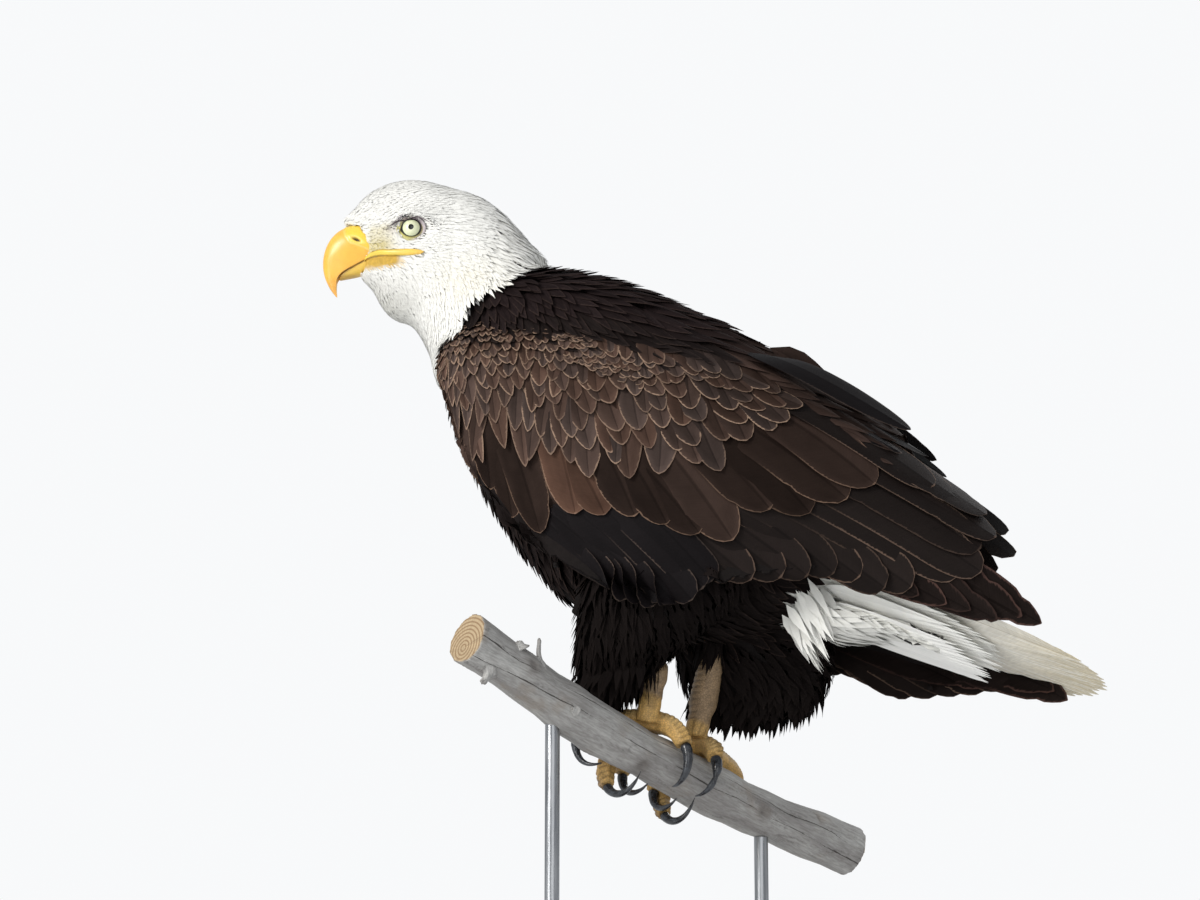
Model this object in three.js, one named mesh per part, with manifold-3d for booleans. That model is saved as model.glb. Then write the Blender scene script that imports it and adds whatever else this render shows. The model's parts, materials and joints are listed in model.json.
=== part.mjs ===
// A bald eagle on a cut branch, as a still, life-size display model.
// Millimetres, +Z up. The eagle faces -X with its back to +X, and its left side is towards -Y.
// The origin is the middle of the base's underside, on the surface that the stand rests on.
//
// The solids follow the outside of the plumage. Soft shapes are lofts: rings of points whose
// sizes come from a few stations, joined by a smooth curve through them.
import * as THREE from "three";
import { mergeVertices } from "three/addons/utils/BufferGeometryUtils.js";
import Module from "manifold-3d";

const wasm = await Module();
wasm.setup();

// ---------------------------------------------------------------- driving dimensions
const GAP = 0.35; // clearance between neighbouring solids
const LEFT = -1; // the side of the left wing, leg and eye, along Y
const RIGHT = 1;
const radians = THREE.MathUtils.degToRad;

const NECK_PIVOT = new THREE.Vector3(-133, 0, 763); // the head turns about a vertical line here
const HEAD_TURN = radians(17); // to the eagle's left
const EYE_RADIUS = 12.5;

const BRANCH_CENTRE = new THREE.Vector3(23.5, 0, 341); // between the feet, on the branch's axis
const BRANCH_HEADING = radians(58); // from +X towards +Y, level
const BRANCH_SLOPE = radians(17.4); // down towards that heading
const BRANCH_RADIUS = 21;
const BRANCH_ENDS = [-240, 215]; // along the axis, from the centre
const BRANCH_BEND = [[15, -4], [2, -2], [-1, 0], [0, 1], [7, -3]]; // rise and lean, end to end
const FOOT_OFFSET = 27; // each foot from the branch's centre, along the axis

const BASE = { length: 340, width: 290, thick: 18, corner: 28, bevel: 2 };
const ROD_RADIUS = 6;
const ROD_PLACES = { front: -138, back: 108 }; // from the branch's centre, along the axis

// ---------------------------------------------------------------- colours
const paint = (color, roughness, metalness = 0) =>
  new THREE.MeshStandardMaterial({ color, roughness, metalness });
const WHITE_PLUMAGE = paint(0xefeee8, 0.85);
const BROWN_PLUMAGE = paint(0x43352d, 0.8);
const DARK_PLUMAGE = paint(0x1d1918, 0.8);
const BILL_YELLOW = paint(0xf0b43c, 0.4);
const FOOT_YELLOW = paint(0xc59a55, 0.6);
const CLAW_BLACK = paint(0x15161a, 0.25);
const EYE_PALE = paint(0xdcdcae, 0.1);
const GREY_WOOD = paint(0x9a9792, 0.85);
const BASE_WOOD = paint(0x4a3222, 0.5);
const ROD_STEEL = paint(0x8a8d90, 0.35, 1);

// ---------------------------------------------------------------- solids
// A geometry as a solid, turned the right way out if its rings ran backwards.
function solid(geometry) {
  for (const name of ["normal", "uv"]) geometry.deleteAttribute(name);
  const merged = mergeVertices(geometry, 1e-3);
  const vertProperties = new Float32Array(merged.attributes.position.array);
  const make = (order) => {
    const triVerts = new Uint32Array(merged.index.array);
    for (let i = 0; i < triVerts.length; i += 3) {
      [triVerts[i + 1], triVerts[i + 2]] = [triVerts[i + order[0]], triVerts[i + order[1]]];
    }
    return new wasm.Manifold(new wasm.Mesh({ numProp: 3, vertProperties, triVerts }));
  };
  const made = make([1, 2]);
  return made.volume() > 0 ? made : make([2, 1]);
}

function placed(geometry, matrix) {
  return solid(geometry.clone().applyMatrix4(matrix));
}

// The largest connected body, without the crumbs that a cut can leave.
function main(cut) {
  return cut.decompose().reduce((a, b) => (b.volume() > a.volume() ? b : a));
}

const nodes = [];
function addNode(name, made, material) {
  const mesh = main(made).getMesh();
  const points = new Float32Array(mesh.numVert * 3);
  for (let i = 0; i < mesh.numVert; i++) {
    points.set(mesh.vertProperties.subarray(i * mesh.numProp, i * mesh.numProp + 3), i * 3);
  }
  const geometry = new THREE.BufferGeometry();
  geometry.setAttribute("position", new THREE.BufferAttribute(points, 3));
  geometry.setIndex(new THREE.BufferAttribute(mesh.triVerts, 1));
  geometry.computeVertexNormals();
  const node = new THREE.Mesh(geometry, material);
  node.name = name;
  nodes.push(node);
}

// The value, from 0 to 1 along it, of a smooth curve through evenly spaced keys. Each key is a list of numbers.
function smooth(keys, t) {
  const at = THREE.MathUtils.clamp(t, 0, 1) * (keys.length - 1);
  const i = Math.min(Math.floor(at), keys.length - 2);
  const f = at - i;
  const key = (n) => keys[THREE.MathUtils.clamp(n, 0, keys.length - 1)];
  return keys[i].map((_, c) => {
    const [a, b, d, e] = [key(i - 1)[c], key(i)[c], key(i + 1)[c], key(i + 2)[c]];
    return 0.5 * (2 * b + (d - a) * f + (2 * a - 5 * b + 4 * d - e) * f * f
      + (3 * b - a - 3 * d + e) * f * f * f);
  });
}

// A closed loft. place(t, k, centre) gives the point at t along it and at k around it, both 0 to 1,
// or the middle of that ring when centre is true.
function loft(along, around, place) {
  const geometry = new THREE.CylinderGeometry(1, 1, 1, around, along);
  const points = geometry.attributes.position;
  for (let i = 0; i < points.count; i++) {
    const [x, y, z] = [points.getX(i), points.getY(i), points.getZ(i)];
    const k = (Math.round((Math.atan2(x, z) / (2 * Math.PI)) * around) + around) % around;
    const p = place(y + 0.5, k / around, Math.hypot(x, z) < 0.5);
    points.setXYZ(i, p.x, p.y, p.z);
  }
  return geometry;
}

// A point of an oval with squarish or pointed sides: power 2 is an ellipse.
function oval(k, power) {
  const turn = 2 * Math.PI * k;
  const bend = (v) => Math.sign(v) * Math.abs(v) ** (2 / power);
  return [bend(Math.cos(turn)), bend(Math.sin(turn))];
}

// A tube along keys of [x, y, z, radius], with blunt ends.
function tube(keys, along, around, toPoint = (x, y, z) => new THREE.Vector3(x, y, z)) {
  const centre = (t) => toPoint(...smooth(keys, t));
  return solid(loft(along, around, (t, k, middle) => {
    const ahead = centre(Math.min(1, t + 0.01)).sub(centre(Math.max(0, t - 0.01))).normalize();
    const side = new THREE.Vector3(0.31, 0.27, 0.91).cross(ahead).normalize();
    const up = new THREE.Vector3().crossVectors(ahead, side);
    const radius = middle ? 0 : smooth(keys, t)[3];
    const [c, s] = oval(k, 2);
    return centre(t).addScaledVector(side, radius * c).addScaledVector(up, radius * s);
  }));
}

// ---------------------------------------------------------------- head and neck
// Each station is the top and the bottom of one cross-section, as a distance from the neck pivot
// in the head's own plane and a height, then its half width and how far the head's turn counts.
const HEAD_STATIONS = [
  [-137, 833, -109, 799, 8, 1],
  [-131, 850, -107, 787, 15, 1],
  [-116, 865, -105, 773, 23.5, 1],
  [-93, 874.5, -101, 761, 30, 1],
  [-66, 875.5, -94, 750, 34, 1],
  [-39, 869, -86, 744, 37.5, 0.98],
  [-14, 858, -78, 740, 41, 0.9],
  [9, 839, -72, 731, 46, 0.75],
  [29, 814, -66, 719, 53, 0.5],
  [54, 790, -60, 702, 61, 0.2],
  [84, 766, -56, 672, 66, 0],
];

function headPoint(ahead, height, aside, turned = 1) {
  const turn = HEAD_TURN * turned;
  return new THREE.Vector3(
    NECK_PIVOT.x + ahead * Math.cos(turn) - aside * Math.sin(turn),
    NECK_PIVOT.y + ahead * Math.sin(turn) + aside * Math.cos(turn),
    height,
  );
}

function headAndNeck() {
  return solid(loft(15, 16, (t, k, middle) => {
    const [topX, topZ, lowX, lowZ, half, turned] = smooth(HEAD_STATIONS, t);
    const [up, side] = middle ? [0, 0] : oval(k, 2.15);
    // The cheeks are the widest part of the head, a little under the middle.
    const width = half * side * (1 + 0.1 * Math.max(0, -up) * (1 - Math.abs(up)));
    return headPoint(
      (topX + lowX) / 2 + (up * (topX - lowX)) / 2,
      (topZ + lowZ) / 2 + (up * (topZ - lowZ)) / 2,
      width,
      turned,
    );
  }));
}

// The bony ridge that shades the eye.
function browRidge(side) {
  const keys = [
    [-108, 828, 18, 3],
    [-93, 832, 25.5, 5],
    [-77, 834, 29.5, 6],
    [-61, 832, 31, 6],
    [-44, 829, 31, 4],
  ];
  return tube(keys, 7, 8, (a, z, y) => headPoint(a, z, y * side));
}

const eyeCentre = (side) => headPoint(-78, 820.5, 22.5 * side);

// The hollow round the eye, under the ridge.
function eyeSocket(side) {
  const centre = headPoint(-79.5, 820, 38.5 * side);
  const turn = new THREE.Matrix4().makeRotationZ(HEAD_TURN);
  const matrix = new THREE.Matrix4().makeTranslation(centre.x, centre.y, centre.z)
    .multiply(turn).multiply(new THREE.Matrix4().makeScale(15, 9, 9.5));
  return placed(new THREE.SphereGeometry(1, 10, 6), matrix);
}

function eyeball(side, radius) {
  const centre = eyeCentre(side);
  return placed(new THREE.SphereGeometry(radius, 12, 7),
    new THREE.Matrix4().makeTranslation(centre.x, centre.y, centre.z));
}

// ---------------------------------------------------------------- bill
// Stations as for the head, without the turn: the ridge and the cutting edge, then half width.
const UPPER_BILL = [
  [-98, 823, -96, 806, 14],
  [-111, 829.5, -105, 804.5, 15.8],
  [-124, 831.5, -115, 802.5, 15.4],
  [-136.5, 830, -125, 798.5, 13.8],
  [-147, 823.5, -133, 794.5, 11.8],
  [-154.5, 812.5, -139, 790.5, 9.6],
  [-157.8, 799.5, -143, 785, 7.4],
  [-156.5, 787, -144.2, 778.5, 5],
  [-151.5, 776, -144.8, 772, 2.8],
  [-144.8, 766.8, -143.6, 766.2, 0.8],
];
const LOWER_BILL = [
  [-88, 803, -86, 796, 15],
  [-104, 801.5, -103, 792.5, 13],
  [-119, 797, -118, 787, 10.6],
  [-130.5, 791, -130, 783.5, 8],
  [-138, 786.4, -137.5, 783, 4.6],
  [-141, 785, -141, 783.8, 2],
];

function billLoft(stations, power, grow = 0) {
  return solid(loft(12, 10, (t, k, middle) => {
    const [topX, topZ, lowX, lowZ, half] = smooth(stations, t);
    const [up, side] = middle ? [0, 0] : oval(k, power);
    const deep = Math.hypot(topX - lowX, topZ - lowZ);
    const tall = up * (0.5 + grow / deep);
    return headPoint(
      (topX + lowX) / 2 + tall * (topX - lowX) + (t < 0.01 ? grow : 0),
      (topZ + lowZ) / 2 + tall * (topZ - lowZ),
      (half + grow) * side,
    );
  }));
}

// The yellow lip that runs back from the bill to under the eye.
function gapeLip(side, grow = 0) {
  const keys = [
    [-126, 807, 8, 4],
    [-112, 804.5, 15, 4],
    [-99, 803.5, 23, 3.6],
    [-85, 804, 28.5, 3.2],
    [-71, 802, 32.5, 2.6],
  ].map(([a, z, y, r]) => [a, z, y, r + grow]);
  return tube(keys, 6, 6, (a, z, y) => headPoint(a, z, y * side));
}

// ---------------------------------------------------------------- trunk
// Top and bottom of each slanting cross-section as x and z, then half width.
const TRUNK_STATIONS = [
  [-112, 792, -184, 722, 47],
  [-91, 789, -187, 702, 60],
  [-40, 780, -177, 653, 76],
  [15, 758, -157, 603, 84],
  [64, 728, -125, 546, 86],
  [109, 690, -76, 486, 84],
  [142, 648, -4, 453, 76],
  [166, 603, 66, 443, 62],
  [184, 560, 118, 452, 44],
  [196, 527, 153, 468, 27],
  [200, 512, 172, 480, 16],
];

function trunkBody(grow = 0) {
  return solid(loft(14, 20, (t, k, middle) => {
    const [topX, topZ, lowX, lowZ, half] = smooth(TRUNK_STATIONS, t);
    const [up, side] = middle ? [0, 0] : oval(k, 2.2);
    const tall = up * (0.5 + grow / Math.hypot(topX - lowX, topZ - lowZ));
    return new THREE.Vector3(
      (topX + lowX) / 2 + tall * (topX - lowX) + (t > 0.99 ? grow : 0),
      (half + grow) * side,
      (topZ + lowZ) / 2 + tall * (topZ - lowZ),
    );
  }));
}

// ---------------------------------------------------------------- wings
// Each station of a folded wing is a crescent across the body at one x: the height and distance
// from the middle of its top edge, the same of its bottom edge, its bulge and its thickness.
const WING_LENGTH_KEYS = {
  left: [
    [-172, 706, 52, 684, 60, 6, 8],
    [-160, 727, 46, 655, 66, 18, 15],
    [-138, 744, 38, 601, 75, 33, 19],
    [-100, 756, 30, 541, 84, 46, 21],
    [-45, 759, 23, 499, 89, 52, 22],
    [15, 751, 17, 473, 90, 53, 22],
    [75, 727, 13, 474, 87, 52, 22],
    [135, 685, 10, 488, 75, 49, 21],
    [195, 644, 8, 487, 63, 44, 20],
    [250, 597, 7, 472, 52, 35, 18],
    [300, 542, 8, 454, 44, 25, 14],
    [333, 466, 15, 442, 38, 12, 9],
    [349, 443, 24, 436, 31, 4, 4],
  ],
  right: [
    [-172, 702, 52, 680, 60, 6, 8],
    [-160, 722, 46, 650, 66, 18, 15],
    [-138, 740, 38, 596, 75, 33, 19],
    [-100, 753, 30, 533, 84, 46, 21],
    [-45, 757, 23, 487, 89, 52, 22],
    [15, 749, 17, 456, 90, 53, 22],
    [75, 725, 13, 438, 87, 52, 22],
    [135, 681, 10, 432, 77, 50, 21],
    [195, 638, 8, 412, 67, 46, 20],
    [250, 588, 7, 400, 58, 38, 18],
    [300, 526, 8, 401, 52, 28, 14],
    [335, 448, 16, 393, 46, 14, 9],
    [357, 402, 27, 388, 40, 4, 4],
  ],
};
const WING_TIP_X = 236; // from here back the folded wing is long flight feathers only

function wingShell(side, keys, grow = 0) {
  const half = 7; // points on the outer side of the crescent, less one
  return solid(loft(18, 2 * (half + 1), (t, k, middle) => {
    const [x, topZ, topY, lowZ, lowY, bulge, thick] = smooth(keys, t);
    const j = Math.round(k * 2 * (half + 1));
    const outer = j <= half;
    const across = middle ? 0.5 : (outer ? j : 2 * half + 1 - j) / half;
    const swell = Math.sin(Math.PI * across) ** 0.8;
    // Square to the chord from the top edge to the bottom edge, pointing away from the body.
    const chord = Math.hypot(lowY - topY, lowZ - topZ);
    const [awayY, awayZ] = [(topZ - lowZ) / chord, (lowY - topY) / chord];
    const edge = 1.2 + grow;
    const depth = outer || middle ? 0 : 2 * edge + (thick + grow) * swell;
    const out = bulge * swell + edge - depth - (middle ? thick / 2 : 0);
    const over = (across - 0.5) * 2 * grow; // the edges grow outwards too
    return new THREE.Vector3(
      x + (t < 0.02 ? -grow : 0) + (t > 0.98 ? grow : 0),
      side * (topY + (lowY - topY) * (across + over / chord) + awayY * out),
      topZ + (lowZ - topZ) * (across + over / chord) + awayZ * out,
    );
  }));
}

// ---------------------------------------------------------------- tail
const TAIL_ROLL = radians(14); // its left edge is lifted
const TAIL_KEYS = [
  // x, z of the middle of its back, half width, thickness, how far the edges hang under it
  [150, 508, 26, 30, 5],
  [195, 493, 36, 30, 7],
  [240, 473, 45, 25, 8],
  [290, 449, 50, 17, 9],
  [340, 424, 53, 11, 9],
  [372, 407, 48, 7, 8],
  [388, 397, 36, 3, 5],
];
const TAIL_DIP = new THREE.Vector3(-0.42, 0, -0.91); // square to the tail, downwards
const TAIL_ASIDE = new THREE.Vector3(0, Math.cos(TAIL_ROLL), 0)
  .addScaledVector(TAIL_DIP, Math.sin(TAIL_ROLL));
const TAIL_UNDER = TAIL_DIP.clone().multiplyScalar(Math.cos(TAIL_ROLL))
  .add(new THREE.Vector3(0, -Math.sin(TAIL_ROLL), 0));

function tailFan(grow = 0) {
  const half = 6;
  return solid(loft(9, 2 * (half + 1), (t, k, middle) => {
    const [x, z, wide, thick, hang] = smooth(TAIL_KEYS, t);
    const j = Math.round(k * 2 * (half + 1));
    const upper = j <= half;
    const across = middle ? 0 : ((upper ? j : 2 * half + 1 - j) / half) * 2 - 1;
    const drop = hang * Math.abs(across) ** 1.6 - grow;
    const body = thick * (1 - 0.72 * across * across) + 2 * grow;
    return new THREE.Vector3(x, 0, z)
      .addScaledVector(TAIL_ASIDE, (wide + grow) * across)
      .addScaledVector(TAIL_UNDER, drop + (upper ? 0 : body) + (middle ? body / 2 : 0));
  }));
}

// The soft white feathers under the root of the tail.
const UNDERTAIL_KEYS = [
  // x, z of the middle, half height, half width
  [120, 478, 14, 18],
  [140, 470, 24, 30],
  [165, 462, 26, 36],
  [195, 456, 18, 34],
  [230, 444, 11, 30],
  [262, 432, 5, 20],
];

function undertail() {
  return solid(loft(8, 12, (t, k, middle) => {
    const [x, z, high, wide] = smooth(UNDERTAIL_KEYS, t);
    const [up, side] = middle ? [0, 0] : oval(k, 2);
    return new THREE.Vector3(x - 0.25 * high * up, wide * side, z + high * up);
  }));
}

// ---------------------------------------------------------------- legs
// Feathered thighs, as level cross-sections: height, middle x and y, half length, half width.
const THIGH_KEYS = {
  left: [
    [548, 40, 48, 58, 24],
    [515, 38, 49, 80, 35],
    [480, 30, 49, 82, 38],
    [450, 9, 46, 62, 35],
    [424, -10, 43, 43, 29],
    [404, -23, 40, 27, 21],
    [391, -28, 38, 12, 9],
  ],
  right: [
    [548, 54, 48, 60, 24],
    [515, 66, 49, 86, 35],
    [480, 72, 49, 88, 38],
    [442, 84, 50, 74, 34],
    [408, 84, 50, 68, 28],
    [378, 86, 47, 52, 21],
    [354, 80, 42, 20, 9],
  ],
};

function thigh(side, keys, grow = 0) {
  return solid(loft(8, 12, (t, k, middle) => {
    const [z, x, y, long, wide] = smooth(keys, t);
    const [ahead, aside] = middle ? [0, 0] : oval(k, 2.1);
    const end = t > 0.99 ? grow : 0;
    return new THREE.Vector3(x + (long + grow) * ahead, side * y + (wide + grow) * aside, z - end);
  }));
}

// A point beside the branch: angle from its top towards the far side (the eagle's front),
// distance from its axis, and distance along it.
const branchAxis = new THREE.Vector3(
  Math.cos(BRANCH_HEADING) * Math.cos(BRANCH_SLOPE),
  Math.sin(BRANCH_HEADING) * Math.cos(BRANCH_SLOPE),
  -Math.sin(BRANCH_SLOPE),
);
const branchFront = new THREE.Vector3(-Math.sin(BRANCH_HEADING), Math.cos(BRANCH_HEADING), 0);
const branchUp = new THREE.Vector3().crossVectors(branchAxis, branchFront);

function besideBranch(degrees, distance, along) {
  return BRANCH_CENTRE.clone()
    .addScaledVector(branchAxis, along)
    .addScaledVector(branchUp, distance * Math.cos(radians(degrees)))
    .addScaledVector(branchFront, distance * Math.sin(radians(degrees)));
}

// Toes and claws as [angle, distance, along, radius], along counted from the foot's middle.
const TOES = {
  left: {
    hind: [[0, 30, 0, 9.5], [-26, 30.5, 4, 9], [-48, 30.5, 8, 8.6], [-66, 30.5, 11, 7.4]],
    inner: [[4, 30, 1, 9], [36, 30.5, 3, 8.6], [74, 31, 2, 8.2], [112, 33, 1, 7]],
    middle: [[4, 30, -1, 9.5], [40, 30.5, -9, 9], [80, 31, -15, 8.8], [116, 34, -18, 8.4],
      [144, 39, -19, 7]],
    outer: [[0, 30, -3, 9], [30, 30.5, -22, 8.4], [64, 30.5, -41, 7.8], [100, 31.5, -56, 6.6]],
  },
  right: {
    hind: [[0, 30, 0, 9.5], [-22, 30.5, -1, 9], [-42, 30.5, -3, 8.6], [-60, 30.5, -6, 7.4]],
    inner: [[4, 30, -1, 9], [36, 30.5, -8, 8.6], [76, 31, -13, 8.2], [112, 33, -16, 7]],
    middle: [[4, 30, 1, 9.5], [38, 30.5, -2, 9], [78, 31, -5, 8.8], [116, 34, -7, 8.4],
      [148, 38, -8, 7]],
    outer: [[0, 30, 3, 9], [10, 30.5, 23, 8.4], [18, 30.5, 43, 7.8], [32, 31, 60, 6.6]],
  },
};
const CLAW_SIZES = {
  // turn about the branch in degrees, reach beyond the toe at its widest, base radius
  hind: [84, 5, 6],
  inner: [72, 5, 5.6],
  middle: [64, 5, 5.2],
  outer: [60, 4, 4.8],
};

// How far each claw drifts along the branch as it hooks round.
const CLAW_DRIFT = {
  left: { hind: 11, inner: 3, middle: 5, outer: 15 },
  right: { hind: -1, inner: 0, middle: 2, outer: 2 },
};
const wider = (keys, grow) => keys.map(([a, d, w, radius]) => [a, d, w, radius + grow]);

// A claw runs on from the end of its toe, swings out, then hooks back to the bark.
function clawKeys(toe, name, drift) {
  const [turn, reach, radius] = CLAW_SIZES[name];
  const [angle, distance, along] = toe[toe.length - 1];
  const way = Math.sign(angle);
  return [0.02, 0.25, 0.5, 0.75, 1].map((f) => [
    angle + way * turn * f,
    distance + reach * Math.sin(Math.PI * f) - (distance - BRANCH_RADIUS - 2.2) * f * f,
    along + drift * f,
    Math.max(0.6, radius * (1 - f) ** 0.72),
  ]);
}

const SHANKS = {
  // [x, y, z, radius] from inside the thigh down to the foot
  left: [[18, -32, 470, 10], [17, -30, 440, 10], [14, -27, 408, 9], [9, -24, 378, 10]],
  right: [[60, 30, 470, 9], [54, 26, 440, 9.4], [46, 23, 405, 9], [38, 22, 370, 10]],
};

// ---------------------------------------------------------------- branch and stand
function branch(grow = 0) {
  const [start, end] = BRANCH_ENDS;
  return solid(loft(20, 12, (t, k, middle) => {
    const along = start + (end - start) * t;
    const angle = 360 * k;
    const knots = 0.9 * Math.sin(along / 23) + 0.7 * Math.cos(along / 9 + 1);
    const ridge = 0.7 * Math.sin(radians(angle * 3) + along / 60);
    const radius = middle ? 0 : BRANCH_RADIUS - 0.8 + 1.6 * t + knots + ridge + grow;
    const cap = t < 0.01 ? -grow : t > 0.99 ? grow : 0;
    const [rise, lean] = smooth(BRANCH_BEND, t);
    return besideBranch(angle, radius, along + cap)
      .addScaledVector(branchUp, rise)
      .addScaledVector(branchFront, lean);
  }));
}

function baseBoard() {
  const { length, width, thick, corner, bevel } = BASE;
  const [x, y] = [length / 2 - bevel, width / 2 - bevel];
  const outline = new THREE.Shape();
  outline.moveTo(-x + corner, -y);
  outline.lineTo(x - corner, -y);
  outline.absarc(x - corner, -y + corner, corner, -Math.PI / 2, 0);
  outline.lineTo(x, y - corner);
  outline.absarc(x - corner, y - corner, corner, 0, Math.PI / 2);
  outline.lineTo(-x + corner, y);
  outline.absarc(-x + corner, y - corner, corner, Math.PI / 2, Math.PI);
  outline.lineTo(-x, -y + corner);
  outline.absarc(-x + corner, -y + corner, corner, Math.PI, Math.PI * 1.5);
  const board = new THREE.ExtrudeGeometry(outline, {
    depth: thick - 2 * bevel, bevelSize: bevel, bevelThickness: bevel, bevelSegments: 1,
    curveSegments: 3,
  });
  return placed(board, new THREE.Matrix4().makeTranslation(0, 0, bevel));
}

function rod(along, perch) {
  const top = besideBranch(0, 0, along);
  const height = top.z - BASE.thick - GAP;
  const shaft = new THREE.CylinderGeometry(ROD_RADIUS, ROD_RADIUS, height, 16);
  const stand = new THREE.Matrix4()
    .makeTranslation(top.x, top.y, BASE.thick + GAP + height / 2)
    .multiply(new THREE.Matrix4().makeRotationX(Math.PI / 2));
  return placed(shaft, stand).subtract(perch);
}

// ---------------------------------------------------------------- thin cuts
// Everything on one side of a plane that stands across the eagle's middle, as a large box.
function sideOf(x, z, degrees, sign) {
  const size = 1200;
  const matrix = new THREE.Matrix4().makeTranslation(x, 0, z)
    .multiply(new THREE.Matrix4().makeRotationY(radians(degrees)))
    .multiply(new THREE.Matrix4().makeTranslation(sign * (size / 2 + GAP / 2), 0, 0));
  return placed(new THREE.BoxGeometry(size, size, size), matrix);
}

// ---------------------------------------------------------------- the whole eagle
const wings = {
  left: wingShell(LEFT, WING_LENGTH_KEYS.left),
  right: wingShell(RIGHT, WING_LENGTH_KEYS.right),
};
const wingRooms = [
  wingShell(LEFT, WING_LENGTH_KEYS.left, GAP),
  wingShell(RIGHT, WING_LENGTH_KEYS.right, GAP),
];
const perch = branch();
const perchRoom = branch(GAP);

const upperBill = (grow) =>
  billLoft(UPPER_BILL, 2.3, grow).add(gapeLip(LEFT, grow)).add(gapeLip(RIGHT, grow));
const headNeck = headAndNeck().add(browRidge(LEFT)).add(browRidge(RIGHT));
const HEAD_CUT = [-160, 790, 38]; // x, z and lean of the cut behind the head
const NECK_CUT = [-138, 742, 42]; // and of the cut at the end of the white plumage

const bodyWhole = headNeck.add(trunkBody());
const head = headNeck.intersect(sideOf(...HEAD_CUT, -1))
  .subtract(upperBill(GAP))
  .subtract(billLoft(LOWER_BILL, 2, GAP))
  .subtract(eyeSocket(LEFT)).subtract(eyeball(LEFT, EYE_RADIUS + GAP))
  .subtract(eyeSocket(RIGHT)).subtract(eyeball(RIGHT, EYE_RADIUS + GAP));
const neck = bodyWhole.intersect(sideOf(...HEAD_CUT, 1)).intersect(sideOf(...NECK_CUT, -1));
const clearOfWings = (made) => wingRooms.reduce((left, room) => left.subtract(room), made);

addNode("head", head, WHITE_PLUMAGE);
addNode("neck", clearOfWings(neck), WHITE_PLUMAGE);
addNode("trunk", clearOfWings(trunkBody().intersect(sideOf(...NECK_CUT, 1))), DARK_PLUMAGE);
addNode("bill_upper", upperBill(0), BILL_YELLOW);
addNode("bill_lower", billLoft(LOWER_BILL, 2).subtract(upperBill(GAP)), BILL_YELLOW);

const trunkRoom = trunkBody(GAP);
addNode("tail", clearOfWings(tailFan().subtract(trunkRoom)), WHITE_PLUMAGE);

let underRoots = clearOfWings(undertail().subtract(trunkRoom).subtract(tailFan(GAP)));
const footRooms = {};
for (const [word, side] of [["left", LEFT], ["right", RIGHT]]) {
  const other = word === "left" ? "right" : "left";
  addNode(`eye_${word}`, eyeball(side, EYE_RADIUS), EYE_PALE);

  // The wing: the arm with its coverts and inner feathers, then the tip of long feathers.
  addNode(`wing_${word}`, wings[word].intersect(sideOf(WING_TIP_X, 500, 0, -1)), BROWN_PLUMAGE);
  addNode(`wing_tip_${word}`, wings[word].intersect(sideOf(WING_TIP_X, 500, 0, 1)), DARK_PLUMAGE);

  // The scaly shank, the foot of four toes, and a claw on each toe.
  const middle = word === "left" ? -FOOT_OFFSET : FOOT_OFFSET;
  const onBranch = (angle, distance, along) => besideBranch(angle, distance, middle + along);
  const toes = (grow) => Object.values(TOES[word])
    .map((keys) => tube(wider(keys, grow), 6, 6, onBranch))
    .reduce((a, b) => a.add(b));
  const claws = (grow) => Object.entries(TOES[word]).map(([name, keys]) => {
    const hook = clawKeys(keys, name, CLAW_DRIFT[word][name]);
    return [name, tube(wider(hook, grow), 6, 6, onBranch)];
  });
  footRooms[word] = toes(GAP);
  const leg = thigh(side, THIGH_KEYS[word]).subtract(trunkRoom).subtract(footRooms[word]);
  addNode(`thigh_${word}`, clearOfWings(leg), DARK_PLUMAGE);
  underRoots = underRoots.subtract(thigh(side, THIGH_KEYS[word], GAP));
  let foot = toes(0).subtract(perchRoom);
  for (const [, claw] of claws(GAP)) foot = foot.subtract(claw);
  if (footRooms[other]) foot = foot.subtract(footRooms[other]);
  addNode(`foot_${word}`, foot, FOOT_YELLOW);

  const shank = tube(SHANKS[word], 4, 10)
    .subtract(footRooms[word]).subtract(perchRoom).subtract(thigh(side, THIGH_KEYS[word], GAP));
  addNode(`shank_${word}`, shank, FOOT_YELLOW);
  for (const [name, claw] of claws(0)) {
    addNode(`claw_${word}_${name}`, claw.subtract(perchRoom), CLAW_BLACK);
  }
}
addNode("undertail", underRoots, WHITE_PLUMAGE);

addNode("perch", perch, GREY_WOOD);
addNode("stand_base", baseBoard(), BASE_WOOD);
for (const [end, along] of Object.entries(ROD_PLACES)) {
  addNode(`stand_rod_${end}`, rod(along, perchRoom), ROD_STEEL);
}

const eagle = new THREE.Group();
eagle.add(...nodes);

export default eagle;
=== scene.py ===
# %% [markdown]
# # A bald eagle on a cut branch
# This lesson dresses a still, life-size model of an adult bald eagle. The solids come from the
# CAD part and are already in place, in metres. They follow the outside of the plumage, so they
# give every position here, and the looks are built just inside them: skin, feathers, bill,
# eyes, feet, weathered branch and a plain display stand.

# %% Load the frame
import json
import math
import bpy
import numpy as np
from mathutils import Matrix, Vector, noise
from mathutils.bvhtree import BVHTree

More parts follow.
